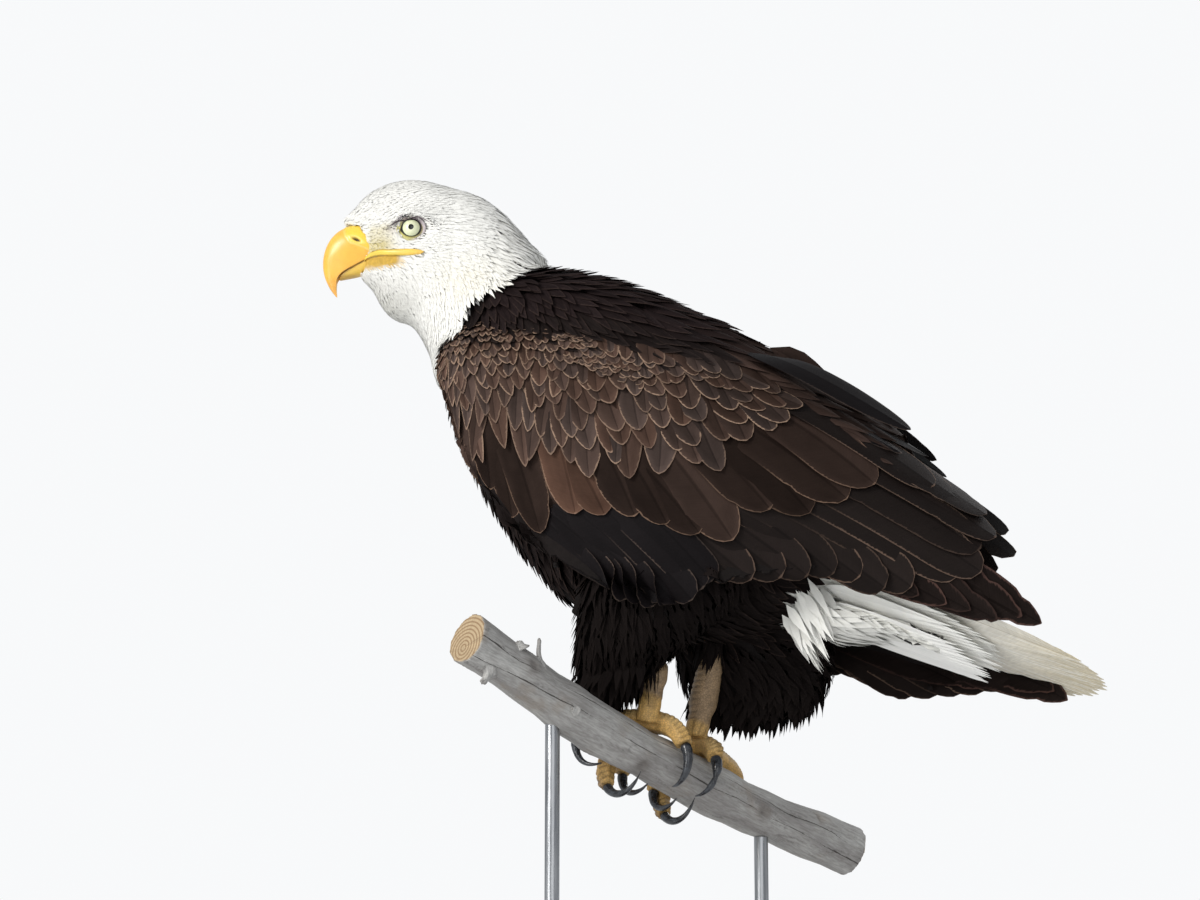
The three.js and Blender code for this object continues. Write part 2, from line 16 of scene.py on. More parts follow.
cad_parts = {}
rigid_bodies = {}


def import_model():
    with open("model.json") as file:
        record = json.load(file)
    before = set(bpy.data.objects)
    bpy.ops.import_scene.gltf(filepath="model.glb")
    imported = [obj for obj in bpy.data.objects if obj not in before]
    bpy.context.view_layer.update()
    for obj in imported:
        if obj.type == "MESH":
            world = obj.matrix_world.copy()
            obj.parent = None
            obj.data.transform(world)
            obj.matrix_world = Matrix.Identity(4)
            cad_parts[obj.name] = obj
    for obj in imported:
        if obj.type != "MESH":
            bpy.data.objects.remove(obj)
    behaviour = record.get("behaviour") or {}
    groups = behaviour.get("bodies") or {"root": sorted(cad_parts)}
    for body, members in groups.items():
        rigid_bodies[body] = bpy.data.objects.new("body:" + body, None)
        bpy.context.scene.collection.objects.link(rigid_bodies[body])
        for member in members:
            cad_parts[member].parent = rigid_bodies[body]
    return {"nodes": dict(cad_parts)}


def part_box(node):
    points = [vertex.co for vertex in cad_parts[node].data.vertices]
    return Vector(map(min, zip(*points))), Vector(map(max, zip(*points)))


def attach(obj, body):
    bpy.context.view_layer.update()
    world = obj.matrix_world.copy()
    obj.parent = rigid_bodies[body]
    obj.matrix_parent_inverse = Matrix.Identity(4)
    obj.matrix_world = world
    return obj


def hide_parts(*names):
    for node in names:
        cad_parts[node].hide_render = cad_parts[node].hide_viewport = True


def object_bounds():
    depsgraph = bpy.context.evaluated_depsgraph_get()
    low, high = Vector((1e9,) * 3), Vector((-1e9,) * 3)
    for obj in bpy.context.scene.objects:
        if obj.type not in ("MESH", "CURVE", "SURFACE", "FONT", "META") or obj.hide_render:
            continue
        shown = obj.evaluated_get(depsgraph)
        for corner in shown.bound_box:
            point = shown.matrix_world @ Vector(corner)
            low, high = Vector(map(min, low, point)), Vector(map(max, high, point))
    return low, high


for leftover in list(bpy.data.objects):  # the start-up cube, lamp and camera
    bpy.data.objects.remove(leftover)
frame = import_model()
CAD_BOX = [list(corner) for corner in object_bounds()]
MM = 0.001
UPWARD = np.array([0, 0, 1.0])
print("nodes", len(frame["nodes"]), "box", [[round(v, 3) for v in c] for c in CAD_BOX])

# %% [markdown]
# ## Camera, light and floor
# The camera stands low beside the perch and looks up at the bird, so that the whole body, the
# branch and the tail fit the frame. A museum case is lit softly: one broad lamp high on the
# left, a weaker one on the right, one behind that draws a rim of light, a small one low in
# front, and a pale room all round. Large area lamps were chosen because feathers need soft
# shadows to show their layers. Far from the stand the floor fades into the backdrop, so that
# no horizon cuts through the tail.

# %% Camera
def looking(obj, target):
    """Turns a camera or a lamp towards a point."""
    obj.rotation_euler = (Vector(target) - obj.location).to_track_quat("-Z", "Y").to_euler()


AIM = Vector((-0.040, 0.0, 0.620))
AIM_DISTANCE = 2.5
FRAME_WIDTH = 1.044  # how much of the bird's own plane the frame takes in
camera = bpy.data.objects.new("camera", bpy.data.cameras.new("camera"))
camera.location = (0.672, -2.3295, 0.0576)
camera.data.sensor_width = 36
camera.data.lens = camera.data.sensor_width * AIM_DISTANCE / FRAME_WIDTH
looking(camera, AIM)
bpy.context.scene.collection.objects.link(camera)
bpy.context.scene.camera = camera
print("camera lens", round(camera.data.lens, 1), "mm, height", round(camera.location.z, 3))


# %% Lamps
def softbox(name, place, size, watts, tint=(1, 1, 1)):
    """A square area lamp that faces the bird."""
    lamp = bpy.data.lights.new(name, "AREA")
    lamp.shape, lamp.size, lamp.energy, lamp.color = "SQUARE", size, watts, tint
    obj = bpy.data.objects.new(name, lamp)
    obj.location = place
    looking(obj, AIM)
    bpy.context.scene.collection.objects.link(obj)


softbox("key_lamp", (-1.65, -2.5, 2.0), 1.0, 64, (1, 0.98, 0.95))
softbox("fill_lamp", (1.3, -2.7, 1.2), 2.0, 12)
softbox("rim_lamp", (1.0, 2.4, 2.5), 1.6, 24)
softbox("low_lamp", (-1.2, -2.2, 0.4), 0.7, 7)
print("lamps", len(bpy.data.lights))

# %% Room
BACKDROP = (0.94, 0.95, 0.96, 1)
world = bpy.data.worlds.new("pale_room")
bpy.context.scene.world = world
world.use_nodes = True
tree = world.node_tree
tree.nodes.clear()
seen = tree.nodes.new("ShaderNodeLightPath")
room, backdrop = (tree.nodes.new("ShaderNodeBackground") for _ in range(2))
room.inputs["Color"].default_value = (0.93, 0.96, 1, 1)
room.inputs["Strength"].default_value = 0.5
backdrop.inputs["Color"].default_value = BACKDROP
backdrop.inputs["Strength"].default_value = 1
mix = tree.nodes.new("ShaderNodeMixShader")
tree.links.new(seen.outputs["Is Camera Ray"], mix.inputs[0])
tree.links.new(room.outputs[0], mix.inputs[1])
tree.links.new(backdrop.outputs[0], mix.inputs[2])
tree.links.new(mix.outputs[0], tree.nodes.new("ShaderNodeOutputWorld").inputs["Surface"])

bpy.context.scene.view_settings.view_transform = "Standard"
print("room strength", room.inputs["Strength"].default_value)

# %% Floor
FLOOR_NEAR, FLOOR_FAR = 1.2, 4.0  # where the floor starts to fade and where it is all backdrop
bpy.ops.object.select_all(action="DESELECT")
bpy.ops.mesh.primitive_plane_add(size=80, location=(0, 0, CAD_BOX[0][2]))
floor = bpy.context.object
floor.name = "floor"
floor_paint = bpy.data.materials.new("floor_paint")
floor_paint.use_nodes = True
tree = floor_paint.node_tree
paint, surface = tree.nodes["Principled BSDF"], tree.nodes["Material Output"].inputs["Surface"]
paint.inputs["Base Color"].default_value = (0.8, 0.81, 0.82, 1)
paint.inputs["Roughness"].default_value = 0.7
place, distance, far, seen, both, pale, mix = (tree.nodes.new("ShaderNode" + kind) for kind in (
    "TexCoord", "VectorMath", "MapRange", "LightPath", "Math", "Emission", "MixShader"))
distance.operation, both.operation = "LENGTH", "MULTIPLY"
far.inputs["From Min"].default_value, far.inputs["From Max"].default_value = FLOOR_NEAR, FLOOR_FAR
far.interpolation_type = "SMOOTHSTEP"
pale.inputs["Color"].default_value = BACKDROP
for start, end in (
        (place.outputs["Object"], distance.inputs[0]), (distance.outputs["Value"], far.inputs["Value"]),
        (far.outputs[0], both.inputs[0]), (seen.outputs["Is Camera Ray"], both.inputs[1]),
        (both.outputs[0], mix.inputs[0]), (paint.outputs[0], mix.inputs[1]), (pale.outputs[0], mix.inputs[2]),
        (mix.outputs[0], surface)):
    tree.links.new(start, end)
floor.data.materials.append(floor_paint)
print("floor at", round(floor.location.z, 3))

# %% [markdown]
# ## Working copies of the solids
# A CAD node is never changed, so each form starts as a copy: its loose triangles are merged,
# several copies are joined, and a voxel remesh turns them into one even skin of small faces
# with no seam. A smoothing pass then takes the facets away.

# %% Selecting, modifiers and simple starting forms
def select_only(*objs):
    """Selects these objects and makes the first one active."""
    bpy.ops.object.select_all(action="DESELECT")
    for o in objs:
        o.select_set(True)
    bpy.context.view_layer.objects.active = objs[0]


def apply_modifier(obj, kind, **settings):
    """Adds a modifier, sets it and applies it."""
    select_only(obj)
    modifier = obj.modifiers.new(kind.lower(), kind)
    for key, value in settings.items():
        setattr(modifier, key, value)
    bpy.ops.object.modifier_apply(modifier=modifier.name)


def ball(name, segments, rings, radius=1, place=(0, 0, 0)):
    """A new sphere whose poles lie on an upright line."""
    bpy.ops.object.select_all(action="DESELECT")
    bpy.ops.mesh.primitive_uv_sphere_add(segments=segments, ring_count=rings, radius=radius, location=place)
    obj = bpy.context.object
    obj.name = obj.data.name = name
    return obj


def close_up(obj):
    """Turns every face of a closed mesh outwards and shades it smooth."""
    select_only(obj)
    bpy.ops.object.mode_set(mode="EDIT")
    bpy.ops.mesh.select_all(action="SELECT")
    bpy.ops.mesh.normals_make_consistent(inside=False)
    bpy.ops.object.mode_set(mode="OBJECT")
    bpy.ops.object.shade_smooth()


def dress(piece, material, slot, *nodes):
    """Gives a piece its material and body, and hides the solids that it stands for. The slot is not used."""
    piece.data.materials.append(material)
    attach(piece, "root")
    if nodes:
        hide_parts(*nodes)


def keep_values(obj, **layers):
    """Keeps one number for each vertex under each name, for the materials to read."""
    for label, values in layers.items():
        obj.data.attributes.new(label, "FLOAT", "POINT").data.foreach_set("value", np.asarray(values, np.float32))


# %% Copies of the solids
def node_copy(label, *names):
    """One merged mesh object from copies of CAD nodes."""
    parts = []
    for n in names:
        part = bpy.data.objects.new(label, frame["nodes"][n].data.copy())
        part.data.materials.clear()
        bpy.context.scene.collection.objects.link(part)
        parts.append(part)
    select_only(*parts)
    if len(parts) > 1:
        bpy.ops.object.join()
    bpy.ops.object.mode_set(mode="EDIT")
    bpy.ops.mesh.select_all(action="SELECT")
    bpy.ops.mesh.remove_doubles(threshold=1e-5)
    bpy.ops.mesh.normals_make_consistent(inside=False)
    bpy.ops.object.mode_set(mode="OBJECT")
    whole = bpy.context.object
    whole.name = whole.data.name = label
    return whole


def soft_copy(label, names, voxel, rounds):
    """A remeshed, smoothed union of CAD nodes."""
    whole = node_copy(label, *names)
    apply_modifier(whole, "REMESH", mode="VOXEL", voxel_size=voxel, use_smooth_shade=True)
    if rounds:
        apply_modifier(whole, "SMOOTH", factor=0.5, iterations=rounds)
    print(label, "faces", len(whole.data.polygons))
    return whole


# %% Points and surface lookups
def points_of(obj):
    """The vertices of a mesh as rows of x, y and z."""
    co = np.zeros(len(obj.data.vertices) * 3)
    obj.data.vertices.foreach_get("co", co)
    return co.reshape(-1, 3)


def normals_of(obj):
    """The smooth normal at each vertex."""
    no = np.zeros(len(obj.data.vertices) * 3)
    obj.data.vertices.foreach_get("normal", no)
    return no.reshape(-1, 3)


def move_points(obj, co):
    """Puts the vertices of a mesh at new places."""
    obj.data.vertices.foreach_set("co", np.asarray(co, float).ravel())
    obj.data.update()


class Surface:
    """Finds the nearest place on a mesh, with its smooth normal."""

    def __init__(self, obj):
        mesh = obj.data
        self.tree = BVHTree.FromPolygons([v.co for v in mesh.vertices],
                                         [p.vertices for p in mesh.polygons])
        corner = normals_of(obj)
        self.normals = np.array([corner[list(p.vertices)].mean(0) for p in mesh.polygons])

    def nearest(self, points):
        """The nearest places and their normals."""
        at, normal = np.zeros((len(points), 3)), np.zeros((len(points), 3))
        for i, p in enumerate(points):
            place, _, face, _ = self.tree.find_nearest(p)
            at[i], normal[i] = place, self.normals[face]
        return at, unit(normal)

    def from_side(self, x, z, side):
        """Where a level line from the left or right first meets the surface: y and normal."""
        place, _, face, _ = self.tree.ray_cast((x, side * 2, z), (0, -side, 0))
        if place is None:
            return None
        return place[1], self.normals[face]


# %% Curves and steps
def unit(v):
    """Vectors of length 1."""
    return v / np.maximum(np.linalg.norm(v, axis=-1, keepdims=True), 1e-12)


def smooth(keys, t):
    """Values of a smooth curve through evenly spaced keys, at each t from 0 to 1."""
    keys = np.asarray(keys, float)
    if keys.ndim == 1:
        keys = keys[:, None]
    t = np.clip(np.atleast_1d(t), 0, 1) * (len(keys) - 1)
    i = np.minimum(t.astype(int), len(keys) - 2)
    f = (t - i)[:, None]
    a, b = keys[np.maximum(i - 1, 0)], keys[i]
    c, d = keys[i + 1], keys[np.minimum(i + 2, len(keys) - 1)]
    return 0.5 * (2 * b + (c - a) * f + (2 * a - 5 * b + 4 * c - d) * f**2
                  + (3 * b - a - 3 * c + d) * f**3)


def step(low_edge, high_edge, value):
    """0 below the low edge, 1 above the high edge, smooth between them."""
    t = np.clip((value - low_edge) / (high_edge - low_edge), 0, 1)
    return t * t * (3 - 2 * t)


# %% The hull of head, body, thighs and wings
FLESH = ["head", "neck", "trunk", "thigh_left", "thigh_right", "undertail", "wing_left", "wing_right"]
THIGH_RISE = 0.026  # how much higher the far thigh ends, as its long feathers hang down past it
hull = soft_copy("hull", FLESH, 0.0035, 4)
co = points_of(hull)
drawn_up = np.clip((0.424 - co[:, 2]) / 0.07, 0, 1) ** 1.3 * (co[:, 1] > 0.008) * (co[:, 0] > -0.03)
co[:, 2] += THIGH_RISE * drawn_up
move_points(hull, co)
owner_names, owner_verts, owner_faces = [], [], []
for n in FLESH:
    mesh = frame["nodes"][n].data
    base = len(owner_verts)
    owner_verts += [tuple(v.co) for v in mesh.vertices]
    owner_faces += [[base + i for i in p.vertices] for p in mesh.polygons]
    owner_names += [n] * len(mesh.polygons)
owner_tree = BVHTree.FromPolygons(owner_verts, owner_faces)


def owners(points):
    """The flesh node that lies nearest to each point."""
    return np.array([owner_names[owner_tree.find_nearest(Vector(p))[2]] for p in points])


# %% The folded wings
wing_form = {}
for word in ("left", "right"):
    form = soft_copy("form_" + word, ["wing_" + word, "wing_tip_" + word], 0.004, 8)
    wing_form[word] = Surface(form)
    bpy.data.objects.remove(form)


def under_wing(points, lower=0.0):
    """True where the folded wing hides a point from the side, or hides it so many millimetres lower."""
    hidden = np.zeros(len(points), bool)
    for i, (x, y, z) in enumerate(points):
        side = 1 if y > 0 else -1
        found = wing_form["right" if side > 0 else "left"].from_side(x, z - lower * MM, side)
        hidden[i] = found is not None and abs(found[0]) > abs(y) + 4 * MM
    return hidden


# %% [markdown]
# ## The head's own frame
# The bird looks a little to its left, so the head is turned about a vertical line through the
# neck. All the places on the face are easier to say in the head's own directions: ahead of
# that line, height, and aside. The two eyeballs give that turn exactly, so it is measured.

# %% Head frame
def centre_of(node):
    """The middle of a node's box."""
    a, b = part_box(node)
    return (np.array(a) + np.array(b)) / 2


eyes = {word: centre_of("eye_" + word) for word in ("left", "right")}
ASIDE = unit(eyes["right"] - eyes["left"])
AHEAD = np.array([ASIDE[1], -ASIDE[0], 0.0])  # along the bill's line, backwards
EYE_MIDDLE = (eyes["left"] + eyes["right"]) / 2
EYE_BACK = -0.078  # the eyes' place ahead of the neck line
EYE_RADIUS = (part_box("eye_left")[1][2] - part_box("eye_left")[0][2]) / 2


def head_place(ahead, height, aside):
    """A point on the head, in millimetres ahead (behind is more), up and aside (right is more)."""
    base = EYE_MIDDLE + (ahead * MM - EYE_BACK) * AHEAD + aside * MM * ASIDE
    return np.array([base[0], base[1], height * MM])


def head_coordinates(points):
    """Ahead, height and aside in millimetres for points in metres."""
    d = points - EYE_MIDDLE
    return (d @ AHEAD + EYE_BACK) / MM, points[:, 2] / MM, (d @ ASIDE) / MM


print("head turn", round(math.degrees(math.atan2(AHEAD[1], AHEAD[0])), 1), "eye radius", round(EYE_RADIUS, 4))

# %% [markdown]
# ## The face
# An eagle's face is not a smooth egg. A bony brow stands out over each eye like the peak of a
# cap, the eye sits in a socket below it, the cheek narrows towards the bill, and the chin fills
# the space under the lower half of the bill. The hull is cut finer round the eyes, and these
# forms are pushed into it by moving its points straight out from the head or ahead of it.

# %% Places on the face
EYE_UP, EYE_OUT = EYE_MIDDLE[2] / MM, np.linalg.norm(eyes["right"] - eyes["left"]) / 2 / MM
# How far out the socket's rim stands, every 45 degrees from the front, upwards.
SOCKET_RIM = [8.8, 9.2, 12.2, 12.6, 11.4, 11.6, 10.6, 9.6, 8.8]
# The lower edge of the brow, ahead of and above the eye, and where it stands out most.
BROW_EDGE = np.array([[20, 2.3], [16.5, 4.0], [12, 5.9], [6.5, 7.6], [1, 9.3], [-5, 9.1],
                      [-10.9, 7.2], [-16.3, 4.3]])


def eye_coordinates(points):
    """How far out from the eye's middle, ahead of it and above it a point is, in millimetres."""
    ahead, height, aside = head_coordinates(points)
    return np.abs(aside) - EYE_OUT, EYE_BACK / MM - ahead, height - EYE_UP


def line_gap(x, y, line):
    """The distance of places from a broken line, and the sign of the side they lie on."""
    best, sign = np.full(len(x), 1e9), np.ones(len(x))
    for (ax, ay), (bx, by) in zip(line[:-1], line[1:]):
        t = ((x - ax) * (bx - ax) + (y - ay) * (by - ay)) / ((bx - ax) ** 2 + (by - ay) ** 2)
        t = np.clip(t, 0, 1)
        dx, dy = x - ax - t * (bx - ax), y - ay - t * (by - ay)
        gap = np.hypot(dx, dy)
        nearer = gap < best
        best = np.where(nearer, gap, best)
        sign = np.where(nearer, np.sign((bx - ax) * dy - (by - ay) * dx), sign)
    return best, sign


def refine(obj, keep, cuts):
    """Cuts the faces that keep() picks into a finer net, with no face of more than four sides."""
    centres = np.array([f.center for f in obj.data.polygons])
    select_only(obj)
    bpy.ops.object.mode_set(mode="EDIT")
    bpy.ops.mesh.select_all(action="DESELECT")
    bpy.ops.mesh.select_mode(type="FACE")
    bpy.ops.object.mode_set(mode="OBJECT")
    obj.data.polygons.foreach_set("select", keep(centres))
    bpy.ops.object.mode_set(mode="EDIT")
    bpy.ops.mesh.subdivide(number_cuts=cuts)
    bpy.ops.mesh.select_all(action="DESELECT")
    bpy.ops.mesh.select_face_by_sides(number=4, type="GREATER")
    bpy.ops.mesh.quads_convert_to_tris()
    bpy.ops.object.mode_set(mode="OBJECT")
    print("refined to faces", len(obj.data.polygons))


def round_the_eyes(centres):
    """True for faces in and near the eye sockets."""
    out, fore, up = eye_coordinates(centres)
    return (out > -14) & (np.hypot(fore, up) < 24)


def chin_push(ahead, height):
    """How far the chin and throat stand out, by the slope down from the middle of the head."""
    slope = np.degrees(np.arctan2(800 - height, -60 - ahead))
    return np.interp(slope, [-6, 4, 11, 15, 20, 28, 37, 48, 60, 70, 84],
                     [0, 12, 16, 13, 11, 9, 7.5, 6.5, 4.4, 1.4, 0])


# %% Shape chin, forehead and crown
refine(hull, round_the_eyes, 3)
apply_modifier(hull, "SMOOTH", factor=0.5, iterations=2)
co = points_of(hull)
ahead, height, aside = head_coordinates(co)
chin = chin_push(ahead, height) * np.exp(-((aside / 15) ** 2)) * step(-62, -74, ahead) * (height > 700)
pushed = unit(np.stack([ahead + 60, height - 800], 1)) * chin[:, None]
muzzle = 5.5 * step(24, 15, np.abs(aside)) * step(-101, -108, ahead)
muzzle = muzzle * step(772, 788, height) * step(834, 826, height)
forehead = 7 * np.exp(-(((height - 837) / 7) ** 2) - (aside / 11) ** 2) * step(-108, -118, ahead)
crown = 2.2 * np.exp(-(((ahead + 46) / 22) ** 2)) * step(845, 862, height)
co = co + ((pushed[:, 0] - muzzle - forehead)[:, None] * AHEAD + (pushed[:, 1] - crown)[:, None] * UPWARD) * MM
move_points(hull, co)
print("chin pushed out mm", round(float(chin.max()), 1))

# %% Press in the eye sockets
out, fore, up = eye_coordinates(co)
reach, turn = np.hypot(fore, up), np.degrees(np.arctan2(up, fore)) % 360
over = np.clip(up / np.maximum(reach, 1), 0, 1) ** 2
rim = np.interp(turn, np.arange(9) * 45, SOCKET_RIM)
wall = step(8.8 - 0.2 * over, 12.4 - 2.8 * over, reach)
shaped = out + (5.0 + (rim - 5.0) * wall - out) * step(20, 14, reach)
gap, sign = line_gap(fore, up, BROW_EDGE)
gap = gap * -sign  # above the edge is more
ridge = 3.2 * np.exp(-(((gap - 2.4) / 2.8) ** 2)) * step(8.8, 10, reach)
hollow = 1.5 * np.exp(-(((gap + 2.0) / 1.9) ** 2)) * step(11, 13, reach) * step(-4, 8, fore)
shaped = shaped + ridge - hollow
on_face = (out > -14) & (reach < 30)
shift = np.where(on_face, shaped - out, 0) * np.sign(head_coordinates(co)[2])
move_points(hull, co + (shift * MM)[:, None] * ASIDE)
hull_surface = Surface(hull)
print("socket shaped, points moved", int((np.abs(shift) > 0.1).sum()))

# %% [markdown]
# ## Markings
# An adult bald eagle is white on head, neck and tail, and dark brown elsewhere: warm brown
# with pale rims on the wing coverts, nearly black on the breast, flanks and thighs. The skin
# and every feather ask the same function for their colour, so the markings always agree, and
# a feather keeps the colour of the place where it is rooted. The same function also paints
# shade: grey under the throat, and a dark shadow along and below the brow.

# %% Colours
def srgb(r, g, b):
    """A screen colour as the linear values that a shader takes."""
    c = np.array([r, g, b]) / 255
    return np.where(c <= 0.04045, c / 12.92, ((c + 0.055) / 1.055) ** 2.4)


def rgba(r, g, b):
    """The same with the fourth number that a colour socket wants."""
    return (*srgb(r, g, b), 1)


WHITE = srgb(240, 239, 233)
CREAM = srgb(232, 222, 188)
THROAT_PAINTED_SHADE = srgb(205, 204, 196)
LORE = srgb(208, 194, 138)
# The brow's colour is mostly its painted shadow and partly its dark skin.
BROW_SKIN_AND_SHADOW = srgb(120, 106, 112)
CHIN_SKIN = srgb(206, 168, 78)
COVERT = srgb(68, 54, 48)
MANTLE = srgb(32, 25, 25)
SCAPULAR = srgb(46, 36, 32)
BREAST = srgb(28, 23, 22)
THIGH = srgb(24, 20, 19)
QUILL = srgb(31, 25, 23)
BLACKEST = srgb(18, 15, 16)
UNDERTAIL = srgb(226, 225, 218)

# %% Edges of the hood and of the wing coverts
# The edge of the roots of the white hood, as x and z in millimetres from the throat up to the nape.
HOOD_EDGE = np.array([[-205, 684], [-190, 690], [-176, 706], [-160, 746], [-133, 760], [-123, 773],
                      [-106, 786], [-93, 801], [-80, 815]])
# The top of the wing coverts, from the shoulder back along the scapulars.
COVERT_TOP = np.array([[-185, 690], [-169, 708], [-150, 726], [-120, 735], [-85, 737], [-42, 736], [0, 728],
                       [40, 714], [78, 697], [112, 672], [140, 650], [163, 622], [200, 580], [260, 540]])


def hood(points, owner):
    """True where the white hood is: above its edge, on all of the throat, never on a wing."""
    x, z = points[:, 0] / MM, points[:, 2] / MM
    above = z > np.interp(x, HOOD_EDGE[:, 0], HOOD_EDGE[:, 1])
    throat = (owner == "neck") & (x < -150) & (z > 696)
    return (above | throat) & ~np.char.startswith(owner, "wing") | (owner == "head")


def bare_chin(ahead, height):
    """The strip of bare yellow skin between the lip and the lower edge of the bill's root."""
    return step(-85, -91, ahead) * step(787, 789, height) * step(800, 798, height)


# %% The colour of the plumage
def plumage(points, normals):
    """The colour of the plumage at points of the body, with painted shade under the throat and along the brow."""
    x, y, z = (points / MM).T
    ahead, height, aside = head_coordinates(points)
    owner = owners(points)
    wing = np.char.startswith(owner, "wing")
    colour = np.tile(BREAST, (len(points), 1))

    def paint(mask, tone):
        nonlocal colour
        mask = np.asarray(mask, float)[:, None]
        colour = colour * (1 - mask) + tone * mask

    top = np.interp(x, COVERT_TOP[:, 0], COVERT_TOP[:, 1])
    outer = step(0.15, 0.4, np.abs(normals[:, 1]) + 0.5 * np.maximum(0, normals[:, 2]))
    low = np.interp(x, [-150, -112, -60, 0, 100, 200], [616, 578, 542, 525, 510, 505])
    paint(wing * np.maximum(outer, step(-128, -140, x)) * step(-8, 6, z - low), COVERT)
    paint(step(-6, 10, z - top) * step(-150, -120, x), MANTLE)
    paint(step(-6, 10, z - top) * step(20, 90, x), SCAPULAR)
    paint(step(520, 490, z) * step(150, 120, x), THIGH)
    vent = (owner == "trunk") & (x > 118) & (z < 500) & (np.abs(y) < 38)
    paint((owner == "undertail") | vent, UNDERTAIL)
    white = hood(points, owner).astype(float)
    paint(white, WHITE)
    # Painted shade: the lower throat, under the head, is painted grey.
    paint(white * step(-20, -60, ahead) * step(792, 752, height) * step(-60, -100, ahead), THROAT_PAINTED_SHADE)
    cheek = np.exp(-(((ahead + 35) / 26) ** 2) - ((height - 775) / 22) ** 2)
    paint(white * 0.35 * cheek, CREAM)
    out, fore, up = eye_coordinates(points)
    face = white * (np.abs(out) < 17)
    lore = step(10, 30, fore) * step(9, -1, up) * step(-26, -20, up)
    paint(face * lore * (0.6 + 0.4 * step(-4, -13, up)) * step(-122, -116, ahead), LORE)
    gap, sign = line_gap(fore, up, BROW_EDGE)
    gap = gap * -sign
    # A dark line along the brow's edge in front of the eye, mostly the brow's painted shadow and partly dark skin,
    # with paler painted shade below it.
    paint(face * 0.85 * step(2.0, 0.7, np.abs(gap - 0.5)) * step(3, 8, fore) * step(21, 16, fore), BROW_SKIN_AND_SHADOW)
    painted_shade_below_brow = np.exp(-(((gap + 3) / 3.5) ** 2)) * step(2, 10, fore) * step(34, 22, fore)
    paint(face * 0.3 * painted_shade_below_brow, BROW_SKIN_AND_SHADOW * 1.6)
    paint(face * bare_chin(ahead, height), CHIN_SKIN)
    return colour


# %% [markdown]
# ## Skin
# Under the feathers lies one skin over head, body, thighs and arms. It is the remeshed hull
# pushed in by the depth of the coat: a few millimetres on the face, more on the body. Where a
# part is thin the push is cut short, so that the skin never turns inside out. It is unwrapped
# by its own shape, and the feathers take their places on that unwrap.

# %% Depth of the coat
BODY_DEPTH, HEAD_DEPTH, FACE_DEPTH, QUILL_DEPTH = 9.0, 3.4, 1.2, 17  # millimetres


def quill_bed(points):
    """1 where flight feathers and not small feathers clothe the wing."""
    x, y, z = (points / MM).T
    lower = step(34, 54, np.abs(y)) * step(565, 545, z) * step(-95, -70, x) * step(455, 470, z)
    return np.maximum(lower, step(150, 190, x) * step(20, 40, np.abs(y)))


def coat_depth(points):
    """How deep the plumage is, in metres."""
    x, y, z = (points / MM).T
    ahead, height, aside = head_coordinates(points)
    depth = np.full(len(points), BODY_DEPTH)
    head = hood(points, owners(points)) * step(10, -30, ahead)
    face = head * step(-45, -85, ahead)
    for share, there in ((head, HEAD_DEPTH), (face, FACE_DEPTH), (quill_bed(points), QUILL_DEPTH)):
        depth = depth * (1 - share) + there * share
    return depth * MM


# %% Push the skin in
LID_PUSH = 3.2  # how far the skin goes in round the eye, in millimetres
skin = hull.copy()
skin.data = hull.data.copy()
skin.name = skin.data.name = "skin"
bpy.context.scene.collection.objects.link(skin)
co, no = points_of(hull), normals_of(hull)
depth = coat_depth(co)
bed = quill_bed(co) > 0.5
for i, (p, n) in enumerate(zip(co, no)):
    hit = hull_surface.tree.ray_cast(p - n * 0.0005, -n, 0.05)[3]
    if bed[i] and n[1] * p[1] < 0:
        depth[i] = 0.0008  # the wing's inner side, which the quills do not need
    elif hit is not None:
        depth[i] = min(depth[i], (0.78 if bed[i] else 0.36) * hit)
for _ in range(2):  # even the depth out between neighbours
    edges = np.array([e.vertices for e in hull.data.edges])
    total, count = np.zeros(len(co)), np.zeros(len(co))
    for a, b in (edges.T, edges.T[::-1]):
        np.add.at(total, a, depth[b])
        np.add.at(count, a, 1)
    depth = np.minimum(depth, total / np.maximum(count, 1))
out, fore, up = eye_coordinates(co)
# Round the eye the skin goes straight in, so that the brow's ridge does not fold.
lidded = (step(16, 13.5, np.hypot(fore, up)) * (out > -14))[:, None]
inward = lidded * ASIDE * -np.sign(head_coordinates(co)[2])[:, None] * LID_PUSH * MM
move_points(skin, co - no * depth[:, None] * (1 - lidded) + inward)
apply_modifier(skin, "SMOOTH", factor=0.4, iterations=3)
print("skin faces", len(skin.data.polygons), "mean depth mm", round(float(depth.mean()) / MM, 1))

# %% Unwrap and colour the skin
select_only(skin)
bpy.ops.object.mode_set(mode="EDIT")
bpy.ops.mesh.select_all(action="SELECT")
bpy.ops.uv.smart_project(angle_limit=1.15, island_margin=0.004)
bpy.ops.object.mode_set(mode="OBJECT")
skin.data.uv_layers[0].name = "OFBake"
tint = skin.data.color_attributes.new("plume", "FLOAT_COLOR", "POINT")
shade = np.ones((len(co), 4))
shade[:, :3] = plumage(co, no)
tint.data.foreach_set("color", shade.ravel())
skin_surface = Surface(skin)
loop_uv = np.zeros(len(skin.data.loops) * 2)
skin.data.uv_layers[0].data.foreach_get("uv", loop_uv)
loop_uv = loop_uv.reshape(-1, 2)
face_uv = np.array([loop_uv[p.loop_start:p.loop_start + p.loop_total].mean(0) for p in skin.data.polygons])
print("unwrapped corners", len(loop_uv))

# %% [markdown]
# ## How feathers lie
# Feathers run back from the bill over the crown, down the neck, and back and down the body.
# A few combing strokes say that way at chosen places, on the left side and mirrored to the
# right, and every point between takes a weighted mean of the strokes near it.

# %% Combing strokes
def stroke(place, way):
    """A stroke given on the body: place in millimetres and the way the feathers run."""
    return [(np.array(place, float) * (1, s, 1) * MM, np.array(way, float) * (1, s, 1)) for s in (-1, 1)]


def head_stroke(place, way):
    """A stroke in the head's own directions, on both sides."""
    made = []
    for s in (-1, 1):
        ahead, height, aside = place
        turned = way[0] * AHEAD + way[2] * s * ASIDE
        made.append((head_place(ahead, height, aside * s), np.array([turned[0], turned[1], way[1]])))
    return made


